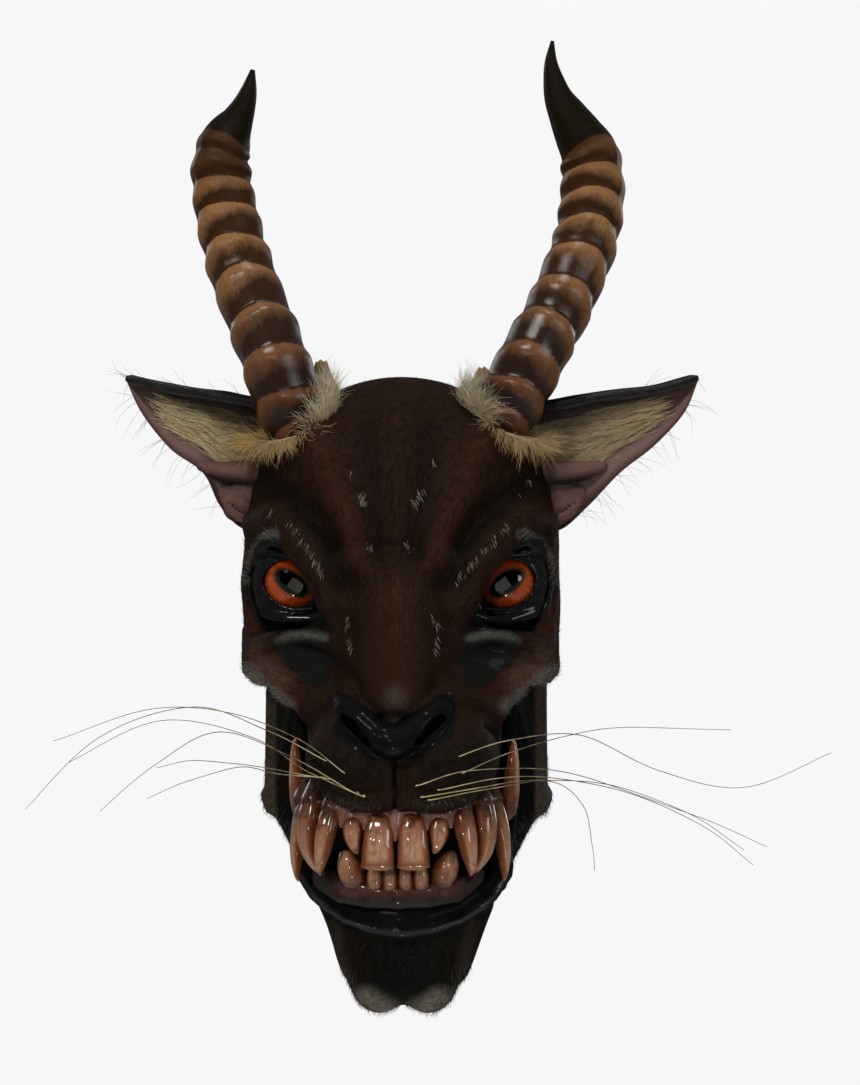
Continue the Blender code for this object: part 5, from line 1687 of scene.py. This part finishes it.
def build_gum(name, arch, middle, teeth, body, up, material):
    """A gum that swells round each tooth, with a scalloped edge that dips between them."""
    low = (middle - 84, -158, min(p[2] for p in arch) - 20)
    high = (middle + 84, -70, max(p[2] for p in arch) + 22)
    clay = Clay(low, high, FINE * 1.15, middle)
    line = smooth_path(arch, 9)
    lift = 0.5 if up > 0 else 5.0
    clay.chain([(p[0], p[1] + 1, p[2] + lift, 7.4) for p in line], 2)
    rows = [np.array(knots) for _, knots in teeth.values()]
    for root, neck, *_ in rows:
        clay.chain([(root[0], root[1] + 1.0, root[2], root[3] + 2.4),
                    (*(root[:3] * 0.2 + neck[:3] * 0.8), neck[3] * 0.94 + 1.0)], 2.4)
    for _, neck, *_ in rows:
        clay.ball((neck[0], neck[1] - 5, neck[2] - 4.5 * up), (neck[3] + 0.8, 9.5, 6.5), 1.4,
                  cut=True)
    if up > 0:
        clay.chain([(0, -144, -290, 6.0), (0, -147.5, -300, 4.4), (0, -150, -310, 1.6)], 3)
        clay.chain([(21, -142, -291, 5.0), (21, -146, -303, 1.8)], 2.5)
        clay.chain([(37, -134, -289, 5.5), (37.5, -138.5, -301, 2.0)], 2.5)
    else:
        clay.chain([(0, -131, -347.5, 5.8), (16, -129, -347, 5.8), (30, -124, -345, 6.4),
                    (42, -113, -342, 5.8), (55, -98, -339, 5.0)], 3)
        clay.chain([(0, -128, -353, 7), (20, -126, -352.5, 7), (38, -116, -350, 7),
                    (54, -100, -344, 6)], 4)
    points, quads = clay.surface(2)
    if up > 0:
        paint = np.tile((0.30, 0.145, 0.105), (len(points), 1))
        paint = layer(paint, (0.060, 0.020, 0.011), ease(36, 48, np.abs(points[:, 0] - middle)))
    else:
        paint = np.tile((0.10, 0.026, 0.017), (len(points), 1))
        paint = layer(paint, (0.006, 0.004, 0.0035), ease(-346, -354, points[:, 2]))
        paint = layer(paint, (0.02, 0.008, 0.006), ease(38, 50, np.abs(points[:, 0] - middle)))
    gum = mesh_object(f"{name}_flesh", points, quads, material, {"paint": paint})
    place(gum, body, "gum", name)


def build_lining(material):
    """The black leather that closes the mouth behind the teeth, a little slack and creased; its black
    is painted shade, for the dark inside of the mouth.
    """
    low, high = [np.array(v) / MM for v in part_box("mouth_lining")]
    rows, cols = 40, 40
    rise, over = np.meshgrid(np.linspace(0, 1, rows), np.linspace(-1, 1, cols), indexing="ij")
    half = np.interp(rise, (0, 0.09, 0.20, 0.31, 0.42, 0.82, 1.0), (26, 43, 60, 65, 67, 69, 69.5))
    slack = 0.5 * np.sin(5 * over + 7 * rise) * np.sin(math.pi * rise) * (1 - over ** 2)
    middle, front = (low[0] + high[0]) / 2, low[1] + 0.6
    spots = np.stack([middle + half * over, front + slack, low[2] + (high[2] - low[2]) * rise],
                     -1).reshape(-1, 3)
    points, faces = closed_sheet(spots, spots + (0, 1.2, 0), rows, cols)
    obj = mesh_object("mouth_shade_leather", points, faces, material)
    tidy(obj)
    place(obj, "jaw", "leather", "mouth_lining")


# ---------------------------------------------------------------- whiskers

# The way of each whisker from its root, in (x, y, z).
WHISKERS = {
    "left": [
        [(-36, -158, -263), (-66, -170, -240), (-112, -168, -223), (-165, -150, -220),
         (-238, -120, -243)],
        [(-49, -154, -255), (-88, -165, -234), (-140, -160, -219), (-205, -135, -240),
         (-258, -110, -291)],
        [(-24, -160, -279), (-60, -172, -262), (-98, -172, -239), (-162, -156, -228),
         (-226, -133, -258)],
        [(-29, -158, -277), (-72, -166, -252), (-120, -160, -236), (-165, -145, -258),
         (-205, -130, -292)],
        [(-47, -154, -268), (-80, -162, -262), (-112, -160, -257), (-140, -150, -256),
         (-165, -140, -261)],
        [(-52, -152, -267), (-84, -158, -264), (-108, -154, -260), (-142, -145, -270),
         (-172, -135, -282)],
    ],
    "right": [
        [(40, -156, -254), (78, -168, -241), (127, -165, -238), (180, -145, -262),
         (240, -125, -275), (300, -105, -251)],
        [(44, -154, -265), (78, -164, -250), (118, -160, -238), (160, -145, -233),
         (230, -120, -235)],
        [(17, -160, -272), (50, -172, -262), (104, -168, -261), (158, -150, -276),
         (210, -130, -296), (256, -110, -316)],
        [(33, -158, -275), (72, -170, -267), (112, -166, -267), (160, -148, -278),
         (212, -125, -302), (246, -105, -329)],
        [(21, -160, -280), (60, -172, -273), (100, -168, -268), (150, -152, -273),
         (200, -132, -292), (240, -118, -318)],
        [(26, -159, -282), (66, -170, -274), (106, -164, -269), (129, -152, -287),
         (135, -140, -314), (136, -132, -332)],
    ],
}


def build_whiskers(material):
    """Thin tapering bristles with a slight kink, each rooted a little inside the lip."""
    rows, sides = 70, 8
    along = np.linspace(0, 1, rows)

    def halves(i, angles):
        radius = 0.42 * (1 - 0.55 * i / (rows - 1)) * np.ones_like(angles)
        return radius, radius

    for where, lines in WHISKERS.items():
        for n, line in enumerate(lines, 1):
            root = np.array(line[0], float)
            path = smooth_path([root + (-0.1 * root[0], 8, 0), *line], rows)
            kink = np.sin(along[:, None] * rng.uniform(14, 26, 3) + rng.uniform(0, 6, 3)) * 0.35
            path = path + kink * ease(0.1, 0.5, along)[:, None]
            points, faces, _ = tube_grid(path, halves, sides, (0, 0, 1))
            piece = mesh_object(f"bristle_{where}_{n}", points, faces, material,
                                {"along": np.repeat(along, sides)})
            tidy(piece)
            keep_inside(piece, 3.0)
            place(piece, "mask", "whisker", f"whisker_{where}_{n}")


# ---------------------------------------------------------------- stage

FLOOR_Z = -1650
FLOOR_REACH = 2200
# Each light: its place in metres, its size in metres, its watts and its colour.
LIGHTS = {
    "key": ((-0.9, -1.8, 1.3), 0.5, 20, (1.0, 0.96, 0.90)),
    "fill": ((1.5, -1.6, 0.4), 0.7, 7, (0.92, 0.96, 1.0)),
    "top": ((0.2, -0.7, 1.7), 0.4, 9, (1, 1, 1)),
    "glint": ((-0.45, -2.1, 0.25), 0.16, 3.0, (1, 1, 1)),
    "kick": ((0.0, -1.15, -1.22), 0.16, 1.6, (1, 1, 1)),
    "back_left": ((-1.6, 1.7, 0.6), 0.8, 6, (1, 1, 1)),
    "back_right": ((1.6, 1.9, 0.3), 0.8, 6, (1, 1, 1)),
}
LIGHTS_AIM = Vector((0, -0.05, -0.1))
CAMERA_AIM = Vector((0.021, -0.060, -0.106))
CAMERA_AWAY = 4.5
CAMERA_TURN = math.radians(1.7)
SENSOR = 36
PICTURE_SIZE = 0.7595                   # metres across the picture's longer side, at the aim


def build_floor():
    count = 9
    spots = [(x, y, FLOOR_Z) for y in np.linspace(-FLOOR_REACH, FLOOR_REACH, count)
             for x in np.linspace(-FLOOR_REACH, FLOOR_REACH, count)]
    faces = []
    for row in range(count - 1):
        for column in range(count - 1):
            a = row * count + column
            faces.append((a, a + 1, a + count + 1, a + count))
    s = Shader("floor")
    tone = s.noise(s.place_in(), 900.0, 2.0)
    s.finish(s.mix(s.spread(tone, 0.3, 0.7), (0.90, 0.90, 0.90), (0.93, 0.93, 0.93)), 0.9)
    mesh_object("floor", np.array(spots), faces, s.material)


def build_room():
    """A room that looks pale, but gives the mask only a little of its light."""
    world = bpy.data.worlds.new("studio")
    bpy.context.scene.world = world
    world.use_nodes = True
    tree = world.node_tree
    dim = tree.nodes["Background"]
    dim.inputs["Color"].default_value = (1, 1, 1, 1)
    dim.inputs["Strength"].default_value = 0.22
    pale = tree.nodes.new("ShaderNodeBackground")
    pale.inputs["Color"].default_value = (0.93, 0.93, 0.93, 1)
    path = tree.nodes.new("ShaderNodeLightPath")
    blend = tree.nodes.new("ShaderNodeMixShader")
    tree.links.new(path.outputs["Is Camera Ray"], blend.inputs[0])
    tree.links.new(dim.outputs[0], blend.inputs[1])
    tree.links.new(pale.outputs[0], blend.inputs[2])
    tree.links.new(blend.outputs[0], tree.nodes["World Output"].inputs["Surface"])


def stand(obj, spot, aim):
    """Puts a light or a camera at a spot in metres, turned towards its aim."""
    bpy.context.scene.collection.objects.link(obj)
    obj.location = spot
    obj.rotation_euler = (aim - obj.location).to_track_quat("-Z", "Y").to_euler()


def build_lights():
    for name, (spot, size, power, colour) in LIGHTS.items():
        data = bpy.data.lights.new(name, "AREA")
        data.shape = "DISK"
        data.size = size
        data.energy = power
        data.color = colour
        stand(bpy.data.objects.new(name, data), spot, LIGHTS_AIM)


def build_camera():
    data = bpy.data.cameras.new("camera")
    data.sensor_width = SENSOR
    data.lens = SENSOR * CAMERA_AWAY / PICTURE_SIZE
    camera = bpy.data.objects.new("camera", data)
    back = Vector((math.sin(CAMERA_TURN), -math.cos(CAMERA_TURN), 0))
    stand(camera, CAMERA_AIM + CAMERA_AWAY * back, CAMERA_AIM)
    bpy.context.scene.camera = camera
    bpy.context.scene.view_settings.view_transform = "Standard"


# ---------------------------------------------------------------- all of it

def build_face(coat, hair):
    points, quads = carve_face()
    normals = normals_of(points, quads)
    paint, gloss = paint_face(points, normals)
    face = mesh_object("face_carving", points, quads, coat, {"paint": paint, "gloss": gloss})
    place(face, "mask", "face", "face_shell")
    dress_face(points, normals, hair)


def build_jaw(coat, hair):
    points, quads = carve_jaw()
    normals = normals_of(points, quads)
    paint, gloss = paint_jaw(points, normals)
    jaw = mesh_object("jaw_carving", points, quads, coat, {"paint": paint, "gloss": gloss})
    place(jaw, "jaw", "jaw", "jaw_shell")
    dress_jaw(points, normals, hair)


def build_mouth():
    resin = resin_material()
    gum = gum_material()
    build_teeth(UPPER_TEETH, TEETH_X, "mask", resin)
    build_teeth(LOWER_TEETH, LOWER_TEETH_X, "jaw", resin)
    build_teeth(TUSKS, JAW_X, "jaw", resin)
    build_gum("upper_gum", UPPER_ARCH, TEETH_X, UPPER_TEETH, "mask", 1, gum)
    build_gum("lower_gum", LOWER_ARCH, LOWER_TEETH_X, LOWER_TEETH, "jaw", -1, gum)
    # The lining's black is painted shade inside the mouth.
    build_lining(plain_material("lining", (0.008, 0.006, 0.005), (0.016, 0.011, 0.009), 0.55, 3.0))


def build_sides():
    """The horns, ears and eyes, first the left ones and then the right ones."""
    horn = horn_material()
    hide = hide_material()
    skin = ear_material()
    iris = iris_material()
    black = lid_material()
    fluff = hair_material("pale_hair", 0.7, 1.0)
    # The threads and the black patch behind the pupils are painted shade.
    shade_mesh = plain_material("pupil_shade_mesh", (0.085, 0.075, 0.036), (0.055, 0.048, 0.022), 0.9, 2.0)
    shade_patch = plain_material("pupil_shade_patch", (0.004, 0.004, 0.0035), (0.007, 0.006, 0.005), 0.95, 2.0)
    for side in SIDES:
        build_horn(side, horn)
        build_collar(side, fluff)
        build_hide(side, hide)
        build_ear(side, skin, fluff)
        build_eye(side, iris, black, shade_mesh, shade_patch)


def paint_hardware():
    """Materials for the solids that stay in view: bolts, nuts, screws, pegs and washers."""
    steel = plain_material("steel", (0.30, 0.29, 0.27), (0.16, 0.14, 0.12), 0.35, 2.5, 1.0)
    wood = plain_material("peg_wood", (0.36, 0.22, 0.11), (0.22, 0.12, 0.055), 0.6, 4.0)
    leather = plain_material("washer_leather", (0.12, 0.065, 0.035), (0.06, 0.03, 0.02), 0.6, 2.0)
    for name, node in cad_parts.items():
        if node.hide_render:
            continue
        kind = wood if "peg" in name else leather if "washer" in name else steel
        node.data.materials.clear()
        node.data.materials.append(kind)


short_hair = hair_material("hair")
fur_coat = coat_material()
build_face(fur_coat, short_hair)
build_jaw(fur_coat, short_hair)
build_mouth()
build_sides()
build_whiskers(whisker_material())
paint_hardware()
build_floor()
build_room()
build_lights()
build_camera()
